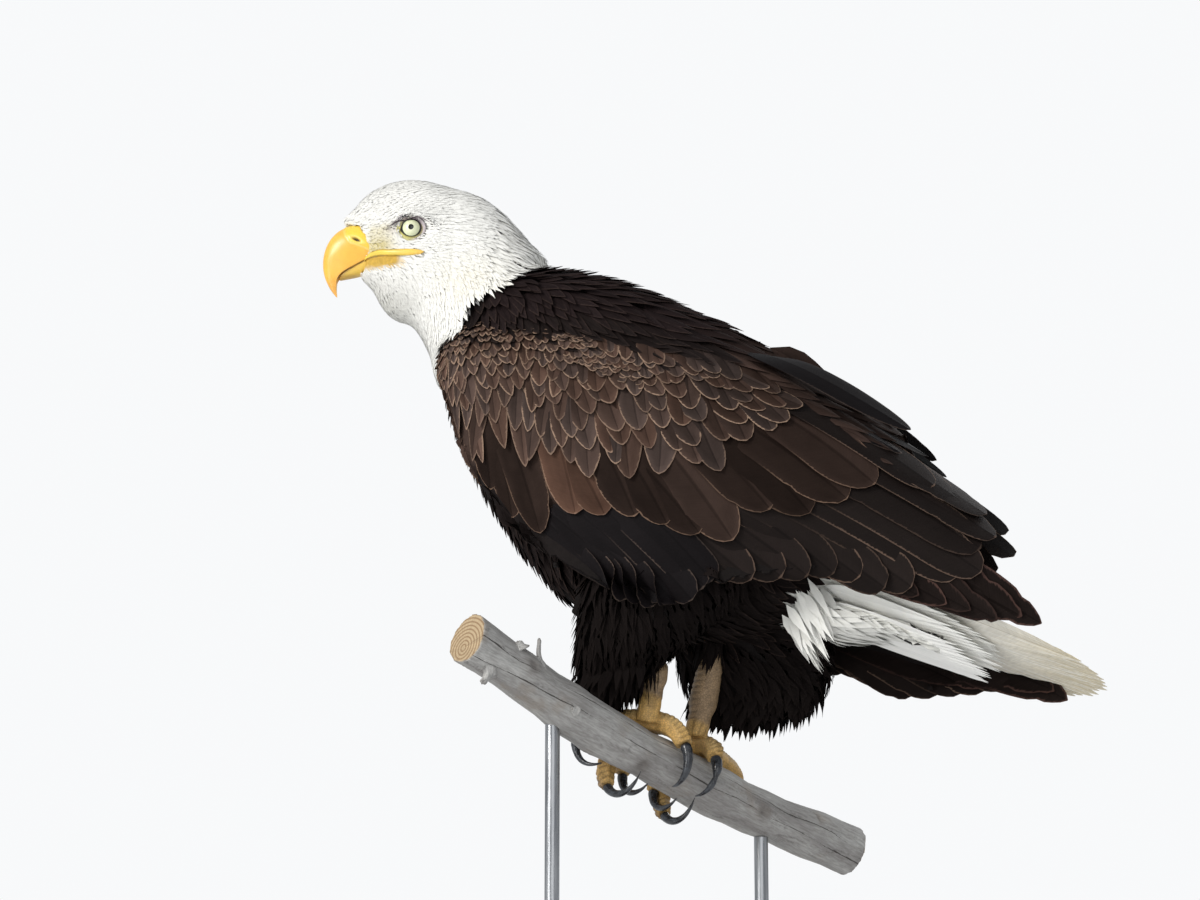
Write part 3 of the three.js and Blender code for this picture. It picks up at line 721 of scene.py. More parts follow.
HEAD_STROKES = [  # ahead, height and aside, then the way there: back, up and aside
    (-122, 842, 8, 0.85, 0.5, 0.1), (-100, 868, 8, 0.97, 0.2, 0.05), (-66, 876, 0, 1, -0.03, 0),
    (-30, 866, 0, 0.9, -0.35, 0), (8, 838, 0, 0.75, -0.65, 0), (45, 800, 0, 0.75, -0.65, 0),
    (-104, 812, 22, 1, 0, 0.3), (-90, 835, 24, 1, 0.05, 0.2), (-60, 838, 30, 1, -0.1, 0),
    (-90, 790, 28, 0.95, -0.25, 0.1), (-60, 790, 36, 0.93, -0.35, 0), (-35, 800, 38, 0.85, -0.5, 0),
    (-20, 780, 42, 0.72, -0.68, 0), (-118, 782, 8, 0.7, -0.7, 0.1), (-104, 776, 18, 0.75, -0.6, 0),
    (-108, 762, 6, 0.4, -0.9, 0), (-92, 746, 8, 0.35, -0.93, 0), (-72, 762, 28, 0.55, -0.85, 0),
    (-70, 724, 10, 0.1, -1, 0), (-45, 735, 40, 0.35, -0.92, 0), (-10, 755, 48, 0.55, -0.8, 0),
    (25, 770, 48, 0.65, -0.75, 0)]
BODY_STROKES = [  # x, y and z, then the way there
    (-90, 20, 785, 0.85, 0.1, -0.5), (-20, 25, 770, 0.97, 0.05, -0.22), (60, 20, 735, 0.9, 0, -0.42),
    (140, 12, 660, 0.8, 0, -0.6), (195, 10, 570, 0.8, 0, -0.6), (-140, 66, 716, 0.3, 0, -0.95),
    (-80, 70, 730, 0.55, 0, -0.83), (0, 66, 715, 0.75, 0, -0.66), (80, 60, 680, 0.82, 0, -0.57),
    (-165, 55, 660, 0.1, 0, -1), (-184, 0, 710, 0, 0.1, -1), (-172, 20, 640, 0.25, 0.05, -0.97),
    (-140, 40, 570, 0.5, 0, -0.87), (-90, 30, 510, 0.6, 0, -0.8), (-40, 70, 500, 0.35, 0, -0.93),
    (0, 10, 455, 0.75, 0, -0.5), (70, 10, 445, 0.9, 0, -0.3), (10, 85, 480, 0.12, 0.05, -1),
    (-20, 50, 415, -0.1, 0, -1), (90, 80, 460, 0.3, 0.05, -1), (95, 50, 400, 0.2, 0, -1),
    (60, 15, 440, 0.2, -0.1, -1), (150, 15, 455, 0.9, 0, -0.35), (230, 15, 435, 0.93, 0, -0.35),
    (150, 60, 620, 0.85, 0, -0.5), (200, 45, 560, 0.86, 0, -0.5)]
STROKES = sum([head_stroke(s[:3], s[3:]) for s in HEAD_STROKES] + [stroke(s[:3], s[3:]) for s in BODY_STROKES], [])
STROKE_PLACES = np.array([s[0] for s in STROKES])
STROKE_WAYS = unit(np.array([s[1] for s in STROKES]))
STROKE_REACH = 0.024


# %% Which way the plumage lies
def lie(points, normals):
    """The way the plumage runs at points, along the surface."""
    gap = ((points[:, None] - STROKE_PLACES[None]) ** 2).sum(-1)
    weight = np.exp(-gap / (2 * STROKE_REACH**2)) + 1e-7 / (gap + 1e-5)
    way = weight @ STROKE_WAYS
    out, fore, up = eye_coordinates(points)
    reach = np.hypot(fore, up)
    off_eye = (up[:, None] * UPWARD - fore[:, None] * AHEAD) / reach[:, None]
    inward = np.minimum((way * off_eye).sum(1), 0) * step(22, 13, reach) * (np.abs(out) < 17)
    way -= off_eye * inward[:, None]  # no feather points into the eye
    way -= normals * (way * normals).sum(1, keepdims=True)
    return unit(way)


print("strokes", len(STROKES))

# %% [markdown]
# ## One feather, many times
# A contour feather is a thin curved vane on a shaft. Each is a closed solid of a top and an
# underside that meet at the rim. The root starts down at the skin and the tip lies on the
# hull, so feathers overlap as on the bird, each on top of those behind it. The same maker
# shapes tiny face feathers and long quills, because only length, width, outline and the
# number of faces differ. Every vertex keeps how far it is from the rim, how far along and
# across the vane it lies and a random tone, and the materials paint rims and shafts from that.

# %% Outline of a feather
def vane_outline(s, rise, start, blunt):
    """Half width of a vane, 0 to 1, at s along it. It widens over rise and narrows from start on."""
    widen = np.clip(s / rise, 0, 1) ** 0.6
    fall = np.clip((s - start) / (1 - start), 0, 1)
    return np.maximum(widen * (1 - fall ** blunt) ** (1 / blunt), 0.03)


def vane_grid(segments, crowd=1.5):
    """Places along a feather, closer together near the tip."""
    return 1 - (1 - np.linspace(0, 1, segments + 1)) ** crowd


# %% Feather maker
SHAFT_HALF_WIDTH = 0.9 * MM


def build_vanes(name, spine, normal, half, across, colour, tone, thick, camber, tilt,
                ridge=0.0, edge_shift=None, patch=0.003, soft=False):
    """A mesh of closed feathers. spine and normal are (feathers, places, 3), half is (feathers, places)."""
    count, rows = spine.shape[:2]
    cols = len(across)
    ahead = unit(np.gradient(spine, axis=1))
    side = unit(np.cross(normal, ahead))
    up = unit(np.cross(ahead, side))
    wide = half[:, :, None] * across[None, None]
    if edge_shift is not None:
        wide = wide * edge_shift
    camber, tilt, tone, thick = (np.broadcast_to(v, count)[:, None, None] for v in (camber, tilt, tone, thick))
    grid = np.broadcast_to(across, wide.shape)
    rise = -camber * np.abs(wide) * np.abs(grid) + tilt * wide
    rise = rise + ridge * np.exp(-((wide / SHAFT_HALF_WIDTH) ** 2))
    top = spine[:, :, None] + side[:, :, None] * wide[..., None] + up[:, :, None] * rise[..., None]
    inner = top[:, 1:-1, 1:-1] - up[:, 1:-1, None] * (thick * (1 - grid[:, 1:-1, 1:-1] ** 2) ** 0.5)[..., None]
    verts = np.concatenate([top.reshape(count, -1, 3), inner.reshape(count, -1, 3)], axis=1)
    upper = np.arange(rows * cols).reshape(rows, cols)
    under = upper.copy()
    under[1:-1, 1:-1] = rows * cols + np.arange((rows - 2) * (cols - 2)).reshape(rows - 2, cols - 2)

    def quads(g, flip):
        q = np.stack([g[:-1, :-1], g[1:, :-1], g[1:, 1:], g[:-1, 1:]], -1).reshape(-1, 4)
        return q[:, ::-1] if flip else q

    faces = np.concatenate([quads(upper, False), quads(under, True)])
    per = verts.shape[1]
    all_faces = (faces[None] + (np.arange(count) * per)[:, None, None]).reshape(-1, 4)
    mesh = bpy.data.meshes.new(name)
    mesh.vertices.add(count * per)
    mesh.vertices.foreach_set("co", verts.ravel())
    mesh.loops.add(len(all_faces) * 4)
    mesh.loops.foreach_set("vertex_index", all_faces.astype(np.int32).ravel())
    mesh.polygons.add(len(all_faces))
    mesh.polygons.foreach_set("loop_start", np.arange(0, len(all_faces) * 4, 4, dtype=np.int32))
    mesh.update(calc_edges=True)

    pieces = np.linalg.norm(np.diff(spine, axis=1), axis=2)
    length = pieces.sum(1)[:, None, None]
    along = np.concatenate([np.zeros((count, 1)), np.cumsum(pieces, 1)], 1)
    along = along[:, :, None] / length + 0 * wide
    rim = np.minimum(half[:, :, None] * (1 - np.abs(grid)), (1 - along) * length * 0.8)
    ids = np.concatenate([upper.ravel(), upper[1:-1, 1:-1].ravel()])

    def point_values(values):
        return values.reshape(count, -1)[:, ids].ravel()

    obj = bpy.data.objects.new(name, mesh)
    keep_values(obj, rim=point_values(rim), tone=point_values(tone + 0 * wide),
                barb=point_values(along * length + 0.7 * np.abs(wide)))
    paint = np.ones((count, per, 4), np.float32)
    paint[:, :, :3] = colour[:, None]
    mesh.color_attributes.new("plume", "FLOAT_COLOR", "POINT").data.foreach_set("color", paint.ravel())
    vane = np.stack([point_values(grid * 0.5 + 0.5), point_values(along)], 1)
    corners = all_faces.ravel()
    mesh.uv_layers.new(name="vane").data.foreach_set("uv", vane[corners].astype(np.float32).ravel())
    roots = np.array([face_uv[skin_surface.tree.find_nearest(p)[2]] for p in spine[:, 0]])
    place = np.repeat(roots, per, axis=0) + (vane - 0.5) * patch
    mesh.uv_layers.new(name="OFBake").data.foreach_set("uv", place[corners].astype(np.float32).ravel())
    mesh.uv_layers["vane"].active_render = True
    bpy.context.scene.collection.objects.link(obj)
    select_only(obj)
    bpy.ops.object.shade_smooth_by_angle(angle=math.radians(70))
    if soft:  # fine plumage takes the light like the smooth form under it
        shown = np.concatenate([np.repeat(normal, cols, axis=1),
                                -np.repeat(normal[:, 1:-1], cols - 2, axis=1)], axis=1)
        mesh.normals_split_custom_set_from_vertices(shown.reshape(-1, 3).tolist())
    print(name, "feathers", count, "triangles", 2 * len(all_faces))
    return obj


# %% Rooting body feathers
FACE_CORNERS = points_of(hull)[np.array([(list(p.vertices) + [p.vertices[0]])[:4] for p in hull.data.polygons])]
FACE_CENTRE = FACE_CORNERS.mean(1)
FACE_AREA = np.array([p.area for p in hull.data.polygons])
FACE_NORMAL = hull_surface.normals
MOST_TRIES = 240000


def scatter(mask, spacing, seed):
    """Points of the hull, about spacing(point) apart, on the faces that the mask keeps."""
    local = np.random.default_rng(seed)
    faces = np.where(mask)[0]
    weight = FACE_AREA[faces] / spacing(FACE_CENTRE[faces]) ** 2
    count = int(min(MOST_TRIES, 14 * weight.sum()))
    chosen = local.choice(faces, count, p=weight / weight.sum())
    mixing = local.dirichlet((1, 1, 1), count)
    corner = FACE_CORNERS[chosen]
    half = local.random(count) < 0.5
    tri = np.where(half[:, None, None], corner[:, [0, 1, 2]], corner[:, [0, 2, 3]])
    points = (tri * mixing[:, :, None]).sum(1)
    gaps = spacing(points)
    cell = gaps.max()
    kept, table = [], {}
    for i, (p, gap) in enumerate(zip(points, gaps)):
        key = tuple((p // cell).astype(int))
        near = [j for dx in (-1, 0, 1) for dy in (-1, 0, 1) for dz in (-1, 0, 1)
                for j in table.get((key[0] + dx, key[1] + dy, key[2] + dz), ())]
        if all((p[0] - points[j][0]) ** 2 + (p[1] - points[j][1]) ** 2 + (p[2] - points[j][2]) ** 2 > gap * gap
               for j in near):
            table.setdefault(key, []).append(i)
            kept.append(i)
    return points[kept]


# %% Laying body feathers
def lay(roots, length, stations, lift_root, lift_tip, wander, seed):
    """Spines that follow the hull from each root, rising from the skin to the coat's surface."""
    local = np.random.default_rng(seed)
    p, n = hull_surface.nearest(roots)
    turn = local.normal(0, wander, len(roots))[:, None]
    spine, normal, last = [], [], 0
    for s in stations:
        way = lie(p, n)
        way = unit(way + turn * np.cross(n, way))
        q, n = hull_surface.nearest(p + way * ((s - last) * length)[:, None])
        p, last = q, s
        spine.append(p)
        normal.append(n)
    spine, normal = np.stack(spine, 1), np.stack(normal, 1)
    for _ in range(2):
        normal[:, 1:-1] = unit(normal[:, :-2] + 2 * normal[:, 1:-1] + normal[:, 2:])
    height = lift_root[:, None] + (lift_tip - lift_root)[:, None] * stations[None]
    return spine + normal * height[:, :, None], normal


# %% [markdown]
# ## Finishes for skin and feathers
# A feather's colour comes from its place on the body. On top of that a vane is darker on one
# side of its shaft, has a dark shaft line, fine barbs that slant to the edge, and a worn pale
# rim. These marks are the same idea on every feather, so they are one node group, and each
# plumage sets its own rim colour and strength.

# %% Short ways to build shader nodes
def node_group(name, inputs, outputs):
    """A new node group with its input and output nodes."""
    group = bpy.data.node_groups.new(name, "ShaderNodeTree")
    for label, kind, value in inputs:
        socket = group.interface.new_socket(label, in_out="INPUT", socket_type=kind)
        if value is not None:
            socket.default_value = value
    for label, kind in outputs:
        group.interface.new_socket(label, in_out="OUTPUT", socket_type=kind)
    return group, group.nodes.new("NodeGroupInput"), group.nodes.new("NodeGroupOutput")


class Wires:
    """Short ways to add nodes to a tree. An argument is a number, a colour or another node's output."""

    def __init__(self, tree, shader=None):
        self.tree, self.shader = tree, shader

    def put(self, socket, value):
        """Links or sets a socket, or leaves it as it is for None."""
        if isinstance(value, bpy.types.NodeSocket):
            self.tree.links.new(value, socket)
        elif value is not None:
            socket.default_value = value

    def maths(self, operation, a, b=None, c=None, clamp=False):
        node = self.tree.nodes.new("ShaderNodeMath")
        node.operation, node.use_clamp = operation, clamp
        for socket, value in zip(node.inputs, (a, b, c)):
            self.put(socket, value)
        return node.outputs[0]

    def times(self, a, b, clamp=False):
        return self.maths("MULTIPLY", a, b, clamp=clamp)

    def plus(self, a, b):
        return self.maths("ADD", a, b)

    def minus(self, a, b):
        return self.maths("SUBTRACT", a, b)

    def ramp(self, value, low_edge, high_edge, low_out=0.0, high_out=1.0):
        """A smooth step between two edges."""
        node = self.tree.nodes.new("ShaderNodeMapRange")
        node.interpolation_type = "SMOOTHSTEP"
        for label, v in (("Value", value), ("From Min", low_edge), ("From Max", high_edge),
                         ("To Min", low_out), ("To Max", high_out)):
            self.put(node.inputs[label], v)
        return node.outputs["Result"]

    def blend(self, factor, a, b, mode="MIX"):
        node = self.tree.nodes.new("ShaderNodeMix")
        node.data_type, node.blend_type = "RGBA", mode
        self.put(node.inputs[0], factor)
        self.put(node.inputs[6], a)
        self.put(node.inputs[7], b)
        return node.outputs[2]

    def shaded(self, colour, value):
        """A colour times a value."""
        return self.blend(1.0, colour, self.vector(value, value, value), "MULTIPLY")

    def noise(self, vector, scale, detail=3.0, rough=0.55, distort=0.0):
        node = self.tree.nodes.new("ShaderNodeTexNoise")
        for label, v in (("Vector", vector), ("Scale", scale), ("Detail", detail), ("Roughness", rough),
                         ("Distortion", distort)):
            self.put(node.inputs[label], v)
        return node.outputs["Fac"]

    def vector(self, x=0.0, y=0.0, z=0.0):
        node = self.tree.nodes.new("ShaderNodeCombineXYZ")
        for socket, v in zip(node.inputs, (x, y, z)):
            self.put(socket, v)
        return node.outputs[0]

    def spread(self, *pairs):
        """A vector of values, each times its own number."""
        return self.vector(*(self.times(value, number) for value, number in pairs))

    def attribute(self, name, output="Fac"):
        """What the vertices keep under a name."""
        node = self.tree.nodes.new("ShaderNodeAttribute")
        node.attribute_name = name
        return node.outputs[output]

    def place(self, scale=(1, 1, 1), turn=(0, 0, 0)):
        """Object coordinates, scaled and turned."""
        where = self.tree.nodes.new("ShaderNodeTexCoord")
        mapping = self.tree.nodes.new("ShaderNodeMapping")
        mapping.inputs["Scale"].default_value = scale
        mapping.inputs["Rotation"].default_value = turn
        self.tree.links.new(where.outputs["Object"], mapping.inputs["Vector"])
        return mapping.outputs[0]

    def on_vane(self):
        """Where on its vane a place lies: across and along, both 0 to 1."""
        vane = self.tree.nodes.new("ShaderNodeUVMap")
        vane.uv_map = "vane"
        split = self.tree.nodes.new("ShaderNodeSeparateXYZ")
        self.put(split.inputs[0], vane.outputs[0])
        return split.outputs[0], split.outputs[1]

    def show(self, label, value):
        """Gives the shader's socket of this name a value."""
        self.put(self.shader.inputs[label], value)

    def bump(self, height, strength, distance):
        """Small relief in the light only, from a height."""
        node = self.tree.nodes.new("ShaderNodeBump")
        for label, value in (("Strength", strength), ("Distance", distance), ("Height", height)):
            self.put(node.inputs[label], value)
        self.show("Normal", node.outputs[0])


def finish(name, roughness, **sockets):
    """A new material with one Principled shader, and the wires to build on."""
    material = bpy.data.materials.new(name)
    material.use_nodes = True
    shader = material.node_tree.nodes["Principled BSDF"]
    shader.inputs["Roughness"].default_value = roughness
    for label, value in sockets.items():
        shader.inputs[label.replace("_", " ")].default_value = value
    return material, Wires(material.node_tree, shader)


# %% The feather marks group
marks, given, out = node_group(
    "feather_marks",
    [("Plume", "NodeSocketColor", None), ("Rim", "NodeSocketFloat", 0), ("Tone", "NodeSocketFloat", 0),
     ("Barb", "NodeSocketFloat", 0), ("Across", "NodeSocketFloat", 0), ("Along", "NodeSocketFloat", 0),
     ("Rim Color", "NodeSocketColor", (1, 1, 1, 1)), ("Rim Strength", "NodeSocketFloat", 0.5),
     ("Rim Width", "NodeSocketFloat", 0.0014), ("Shaft Dark", "NodeSocketFloat", 0.4),
     ("Side Contrast", "NodeSocketFloat", 0.3), ("Barb Contrast", "NodeSocketFloat", 0.2),
     ("Mottle", "NodeSocketFloat", 1.0), ("Pale Edge", "NodeSocketFloat", 0.0)],
    [("Color", "NodeSocketColor"), ("Height", "NodeSocketFloat")])
w = Wires(marks)
g = {s.name: s for s in given.outputs}
streak_place = w.spread((g["Barb"], 900), (g["Across"], 1.2), (g["Tone"], 71))
streak = w.noise(streak_place, 1.0, 4.0, 0.65)
blotch = w.noise(w.spread((g["Along"], 3), (g["Across"], 2.5), (g["Tone"], 53)), 1.0, 3.0)
value = w.plus(1.0, w.times(w.minus(streak, 0.5), g["Barb Contrast"]))
uneven = w.plus(w.ramp(blotch, 0.25, 0.75, -0.14, 0.16), w.ramp(g["Tone"], 0.0, 1.0, -0.22, 0.22))
value = w.times(value, w.plus(1.0, w.times(uneven, g["Mottle"])))
halves = w.ramp(g["Across"], 0.44, 0.56, -0.5, 0.5)
value = w.times(value, w.plus(1.0, w.times(halves, g["Side Contrast"])))
off_shaft = w.maths("ABSOLUTE", w.minus(g["Across"], 0.5))
shaft = w.times(w.ramp(off_shaft, 0.012, 0.05, 1.0, 0.0), g["Shaft Dark"])
value = w.times(value, w.minus(1.0, shaft))
edge = w.times(w.ramp(g["Rim"], 0.0, 0.007, 1.0, 0.0), g["Pale Edge"])
tinted = w.shaded(g["Plume"], w.times(value, w.plus(1.0, edge)))
worn = w.times(g["Rim Width"], w.ramp(w.noise(streak_place, 0.6, 2.0), 0.3, 0.7, 0.5, 1.5))
rim = w.ramp(w.maths("DIVIDE", g["Rim"], worn), 0.55, 1.25, 1.0, 0.0)
rim = w.times(rim, w.ramp(g["Along"], 0.3, 0.65))
rim = w.times(rim, g["Rim Strength"])
each = w.noise(w.vector(w.times(g["Tone"], 37), 0.5, 0.0), 1.0, 1.0)
rim = w.times(rim, w.ramp(each, 0.35, 0.6, 0.3, 1.0), clamp=True)
marks.links.new(w.blend(rim, tinted, g["Rim Color"]), out.inputs["Color"])
raised = w.times(w.ramp(off_shaft, 0.01, 0.06, 1.0, 0.0), g["Shaft Dark"])
marks.links.new(w.plus(streak, raised), out.inputs["Height"])
print("nodes in the feather marks", len(marks.nodes))


# %% Finishes of the plumages
def plumage_finish(name, rim_colour, rim_strength, rim_width=0.0014, shaft=0.35, sides=0.3, barbs=0.3,
                   roughness=0.62, bump=0.25, mottle=1.0, pale_edge=0.0, gloss=0.08):
    """The look of one plumage: the marks group with this plumage's own strengths."""
    material, w = finish(name, roughness, Specular_IOR_Level=gloss, IOR=1.2)
    group = w.tree.nodes.new("ShaderNodeGroup")
    group.node_tree = marks
    across, along = w.on_vane()
    for label, value in (("Plume", w.attribute("plume", "Color")), ("Rim", w.attribute("rim")),
                         ("Tone", w.attribute("tone")), ("Barb", w.attribute("barb")), ("Across", across),
                         ("Along", along), ("Rim Color", rim_colour), ("Rim Strength", rim_strength),
                         ("Rim Width", rim_width), ("Shaft Dark", shaft), ("Side Contrast", sides),
                         ("Barb Contrast", barbs), ("Mottle", mottle), ("Pale Edge", pale_edge)):
        w.put(group.inputs[label], value)
    w.show("Base Color", group.outputs["Color"])
    w.bump(group.outputs["Height"], bump, 0.0006)
    return material


white_coat = plumage_finish("white_coat", rgba(252, 251, 248), 0.25, shaft=0.02, sides=0.03, barbs=0.1,
                            roughness=0.8, bump=0.08, mottle=0.2)
brown_coat = plumage_finish("brown_coat", rgba(158, 132, 112), 0.8, 0.0011, 0.4, 0.45, 0.28, 0.6,
                            pale_edge=0.45, gloss=0.12)
dark_coat = plumage_finish("dark_coat", rgba(74, 60, 54), 0.3, 0.0009, 0.3, 0.2, pale_edge=0.15)
down_coat = plumage_finish("down_coat", rgba(50, 42, 38), 0.1, 0.0009, 0.1, 0.1, 0.35, 0.7, mottle=0.8)
print("materials", len(bpy.data.materials))

# %% Skin finish
skin_finish, w = finish("bare_skin", 0.75, Specular_IOR_Level=0.1)
speck = w.ramp(w.noise(w.place(), 260, 3), 0.3, 0.7, 0.82, 1.05)
w.show("Base Color", w.shaded(w.attribute("plume", "Color"), speck))
w.bump(w.noise(w.place(), 900, 3), 0.3, 0.0004)
dress(skin, skin_finish, "dark_plumage", *FLESH)
bpy.data.objects.remove(hull)
print("skin stands for", len(FLESH), "solids")

# %% [markdown]
# ## Bill
# The bill is a hard, smooth sheath of horn: a deep hooked upper half whose sides come straight
# down to a cutting edge, a shorter lower half that shuts inside it, and a softer, paler cere at
# the root with a slanted nostril. Each half starts as a sphere with its poles at root and tip.
# Its rings are laid on ribs that say where the ridge, the cutting edge and the sides lie, as on
# a boat. Cere and nostril are then raised and pressed in by moving points, as with a thumb.

# %% Ribs of the bill
# Each rib in millimetres, from root to tip: ridge ahead and height, cutting edge ahead and height, half width.
UPPER_RIBS = np.array([
    (-106, 827, -98, 803, 14.6), (-117, 830.6, -108, 801.6, 15.3), (-127, 831.4, -117, 798.6, 14.9),
    (-135.5, 830.6, -124, 794.8, 14.0), (-143.5, 827.4, -130.5, 791.5, 12.8), (-150.3, 821.4, -136, 788.8, 11.3),
    (-155.2, 813.2, -140.4, 786.4, 9.5), (-157.9, 803.5, -143.6, 783.6, 7.7), (-158.3, 794, -145.3, 780.2, 6.1),
    (-156.8, 785.3, -145.7, 776, 4.6), (-153.6, 777.2, -145.6, 771.8, 3.2), (-149.6, 770.4, -145.3, 768.2, 1.8),
    (-145.4, 765.4, -145, 765.6, 0.1)])
# The same for the lower half: top edge ahead and height, keel ahead and height, half width.
LOWER_RIBS = np.array([
    (-97, 801, -97, 789, 13.6), (-105, 800.6, -104, 788.4, 13.4), (-112.5, 799.8, -111, 787.8, 12.6),
    (-119, 797.6, -118, 786.8, 11.6), (-125, 794.6, -124, 785.6, 10.4), (-130.4, 792, -129.6, 784.2, 9.0),
    (-135.4, 789.6, -134.8, 783, 7.4), (-139.8, 787, -139.4, 782, 5.6), (-143, 784.8, -142.6, 781.4, 3.4),
    (-144.4, 783, -144.3, 782.6, 0.2)])


def upper_section(q):
    """Down the rib and out from it, at q from the ridge, 0, round to the middle of the palate, 1."""
    roof, side, palate = (np.clip((q - a) / b, 0, 1) for a, b in ((0, 0.43), (0.43, 0.35), (0.78, 0.22)))
    down = 0.5 * (1 - np.cos(roof * np.pi / 2)) + 0.5 * side - 0.1 * np.sin(palate * np.pi / 2)
    return down, np.where(q < 0.78, np.sin(roof * np.pi / 2) ** 0.92 * (1 - 0.17 * side**2), 0.83 * (1 - palate))


def lower_section(q):
    """Down the rib and out from it, from the middle of the tongue's bed, 0, round to the keel, 1."""
    bed, side = np.clip(q / 0.25, 0, 1), np.clip((q - 0.25) / 0.75, 0, 1)
    out = np.where(q < 0.25, bed, np.cos(side * np.pi / 2) ** 0.8)
    return 0.12 * (1 - bed) + np.sin(side * np.pi / 2) ** 1.1, out


# %% From ribs to a mesh
def on_head(ahead, height, aside):
    """Points in metres for rows of millimetres ahead, up and aside on the head."""
    place = EYE_MIDDLE + ((ahead * MM - EYE_BACK)[:, None] * AHEAD) + (aside * MM)[:, None] * ASIDE
    return np.column_stack([place[:, :2], height * MM])


def ribbed(name, ribs, section):
    """A sphere laid on ribs: poles at root and tip, rings round them."""
    obj = ball(name, 96, 84)
    x, y, z = points_of(obj).T
    t, q = np.arccos(np.clip(z, -1, 1)) / np.pi, np.abs(np.arctan2(y, x)) / np.pi
    ridge_a, ridge_h, edge_a, edge_h, wide = smooth(ribs, t).T
    down, out = section(q)
    close = np.clip(t / 0.02, 0, 1) ** 0.5
    down = 0.5 + (down - 0.5) * close
    ahead, height = ridge_a + (edge_a - ridge_a) * down, ridge_h + (edge_h - ridge_h) * down
    move_points(obj, on_head(ahead, height, wide * out * close * np.sign(y)))
    close_up(obj)
    return obj


def colour_points(obj, colour):
    """Keeps a colour for each vertex, for the materials to read."""
    paint = np.ones((len(colour), 4), np.float32)
    paint[:, :3] = colour
    obj.data.color_attributes.new("plume", "FLOAT_COLOR", "POINT").data.foreach_set("color", paint.ravel())


def lerp(a, b, t):
    """A mix of two colours, or rows of colours, for each t."""
    return np.atleast_2d(a) * (1 - t[:, None]) + np.atleast_2d(b) * t[:, None]


# %% Bill finish
def bill_finish():
    """Waxy horn, with faint clouds and scratches that run with it."""
    material, w = finish("bill_horn", 0.34, Coat_Weight=0.25, Coat_Roughness=0.25,
                         Subsurface_Weight=0.12, Subsurface_Radius=(0.004, 0.002, 0.0008))
    cloud = w.noise(w.place(), 70, 4)
    scratch = w.noise(w.place((1, 1, 5), (0.3, 0, 0.3)), 420, 4, 0.7)
    value = w.times(w.ramp(cloud, 0.3, 0.7, 0.92, 1.04), w.ramp(scratch, 0.25, 0.75, 0.96, 1.03))
    w.show("Base Color", w.shaded(w.attribute("plume", "Color"), value))
    w.show("Roughness", w.ramp(scratch, 0.3, 0.8, 0.28, 0.46))
    w.bump(scratch, 0.12, 0.0004)
    return material


bill_horn = bill_finish()
BILL_GOLD, BILL_PAINTED_HIGHLIGHT, BILL_TIP = srgb(250, 188, 74), srgb(252, 212, 112), srgb(240, 176, 80)
# MOUTH_LINE_SHADE is painted shade: the dark of the crevice between the halves of the bill.
CERE, LIP, MOUTH_LINE_SHADE = srgb(246, 208, 72), srgb(238, 206, 84), srgb(150, 104, 44)
# The front edge of the cere, ahead and height, from the ridge down and back along the cutting edge.
CERE_EDGE = np.array([[-141, 833], [-139, 826], [-137, 819], [-133, 813], [-125, 810.5], [-119.5, 808],
                      [-112, 803.5], [-98, 802]])


def dress_bill(obj, tone, *nodes):
    """Colours a piece of the bill and dresses it in horn."""
    colour_points(obj, tone)
    dress(obj, bill_horn, "bill", *nodes)


# %% Upper half: where cere, nostrils and lip lie
upper_half = ribbed("bill_upper_half", UPPER_RIBS, upper_section)
co, no = points_of(upper_half), normals_of(upper_half)
ahead, height, aside = head_coordinates(co)
gap, sign = line_gap(ahead, height, CERE_EDGE)
cere = step(-0.6, 0.8, gap * sign) * step(4, 5, height - np.interp(-ahead, [98, 145], [799, 782]))
slit = unit(0.89 * AHEAD - 0.46 * UPWARD)  # the way the nostril slants
hole, rim_of_hole = np.zeros(len(co)), np.zeros(len(co))
for side in (-1, 1):
    d = co - head_place(-128, 815.4, 14.2 * side)
    run = (d @ slit) / MM
    off = np.linalg.norm(d - (run * MM)[:, None] * slit, axis=1) / MM
    reach = np.hypot(run / 4.4, off / 1.25)
    hole = np.maximum(hole, step(1.25, 0.7, reach))
    rim_of_hole = np.maximum(rim_of_hole, np.exp(-(((reach - 1.7) / 0.5) ** 2)))
groove = np.exp(-(((gap * sign + 0.7) / 0.6) ** 2)) * step(6, 9, np.abs(aside))
above_edge = height - np.interp(ahead, UPPER_RIBS[::-1, 2], UPPER_RIBS[::-1, 3])
lip_line = np.exp(-(((above_edge - 2.6) / 0.8) ** 2)) * step(-143, -136, ahead)
raised = 0.55 * cere - 2.8 * hole + 0.35 * rim_of_hole - 0.25 * groove - 0.2 * lip_line
move_points(upper_half, co + no * (raised * MM)[:, None])
print("nostril mm deep", round(float(-raised.min()), 1))

# %% Upper half: colours
# Painted highlight: the top of the hook is painted paler.
tone = lerp(BILL_GOLD, BILL_PAINTED_HIGHLIGHT, 0.7 * step(822, 832, height) * step(-156, -146, ahead))
tone = lerp(tone, BILL_TIP, step(788, 770, height))
tone = lerp(tone, CERE, cere)
# Painted highlight: paler yellow on the raised rim of each nostril and along the groove at the cere's edge.
tone = lerp(tone, srgb(250, 230, 140), np.clip(0.6 * groove + 0.5 * rim_of_hole, 0, 1))
# Painted shade inside each pressed-in nostril.
tone = lerp(tone, srgb(70, 50, 22), hole)
# Painted shade along the cutting edge, where the lower half shuts inside the upper.
tone = lerp(tone, MOUTH_LINE_SHADE, 0.75 * step(1.0, 0.2, np.abs(above_edge)) * (ahead > -145))
dress_bill(upper_half, tone, "bill_upper")
print("upper half faces", len(upper_half.data.polygons))

# %% Lower half
lower_half = ribbed("bill_lower_half", LOWER_RIBS, lower_section)
ahead, height, aside = head_coordinates(points_of(lower_half))
tone = lerp(srgb(236, 196, 84), srgb(214, 188, 96), step(-120, -104, ahead))
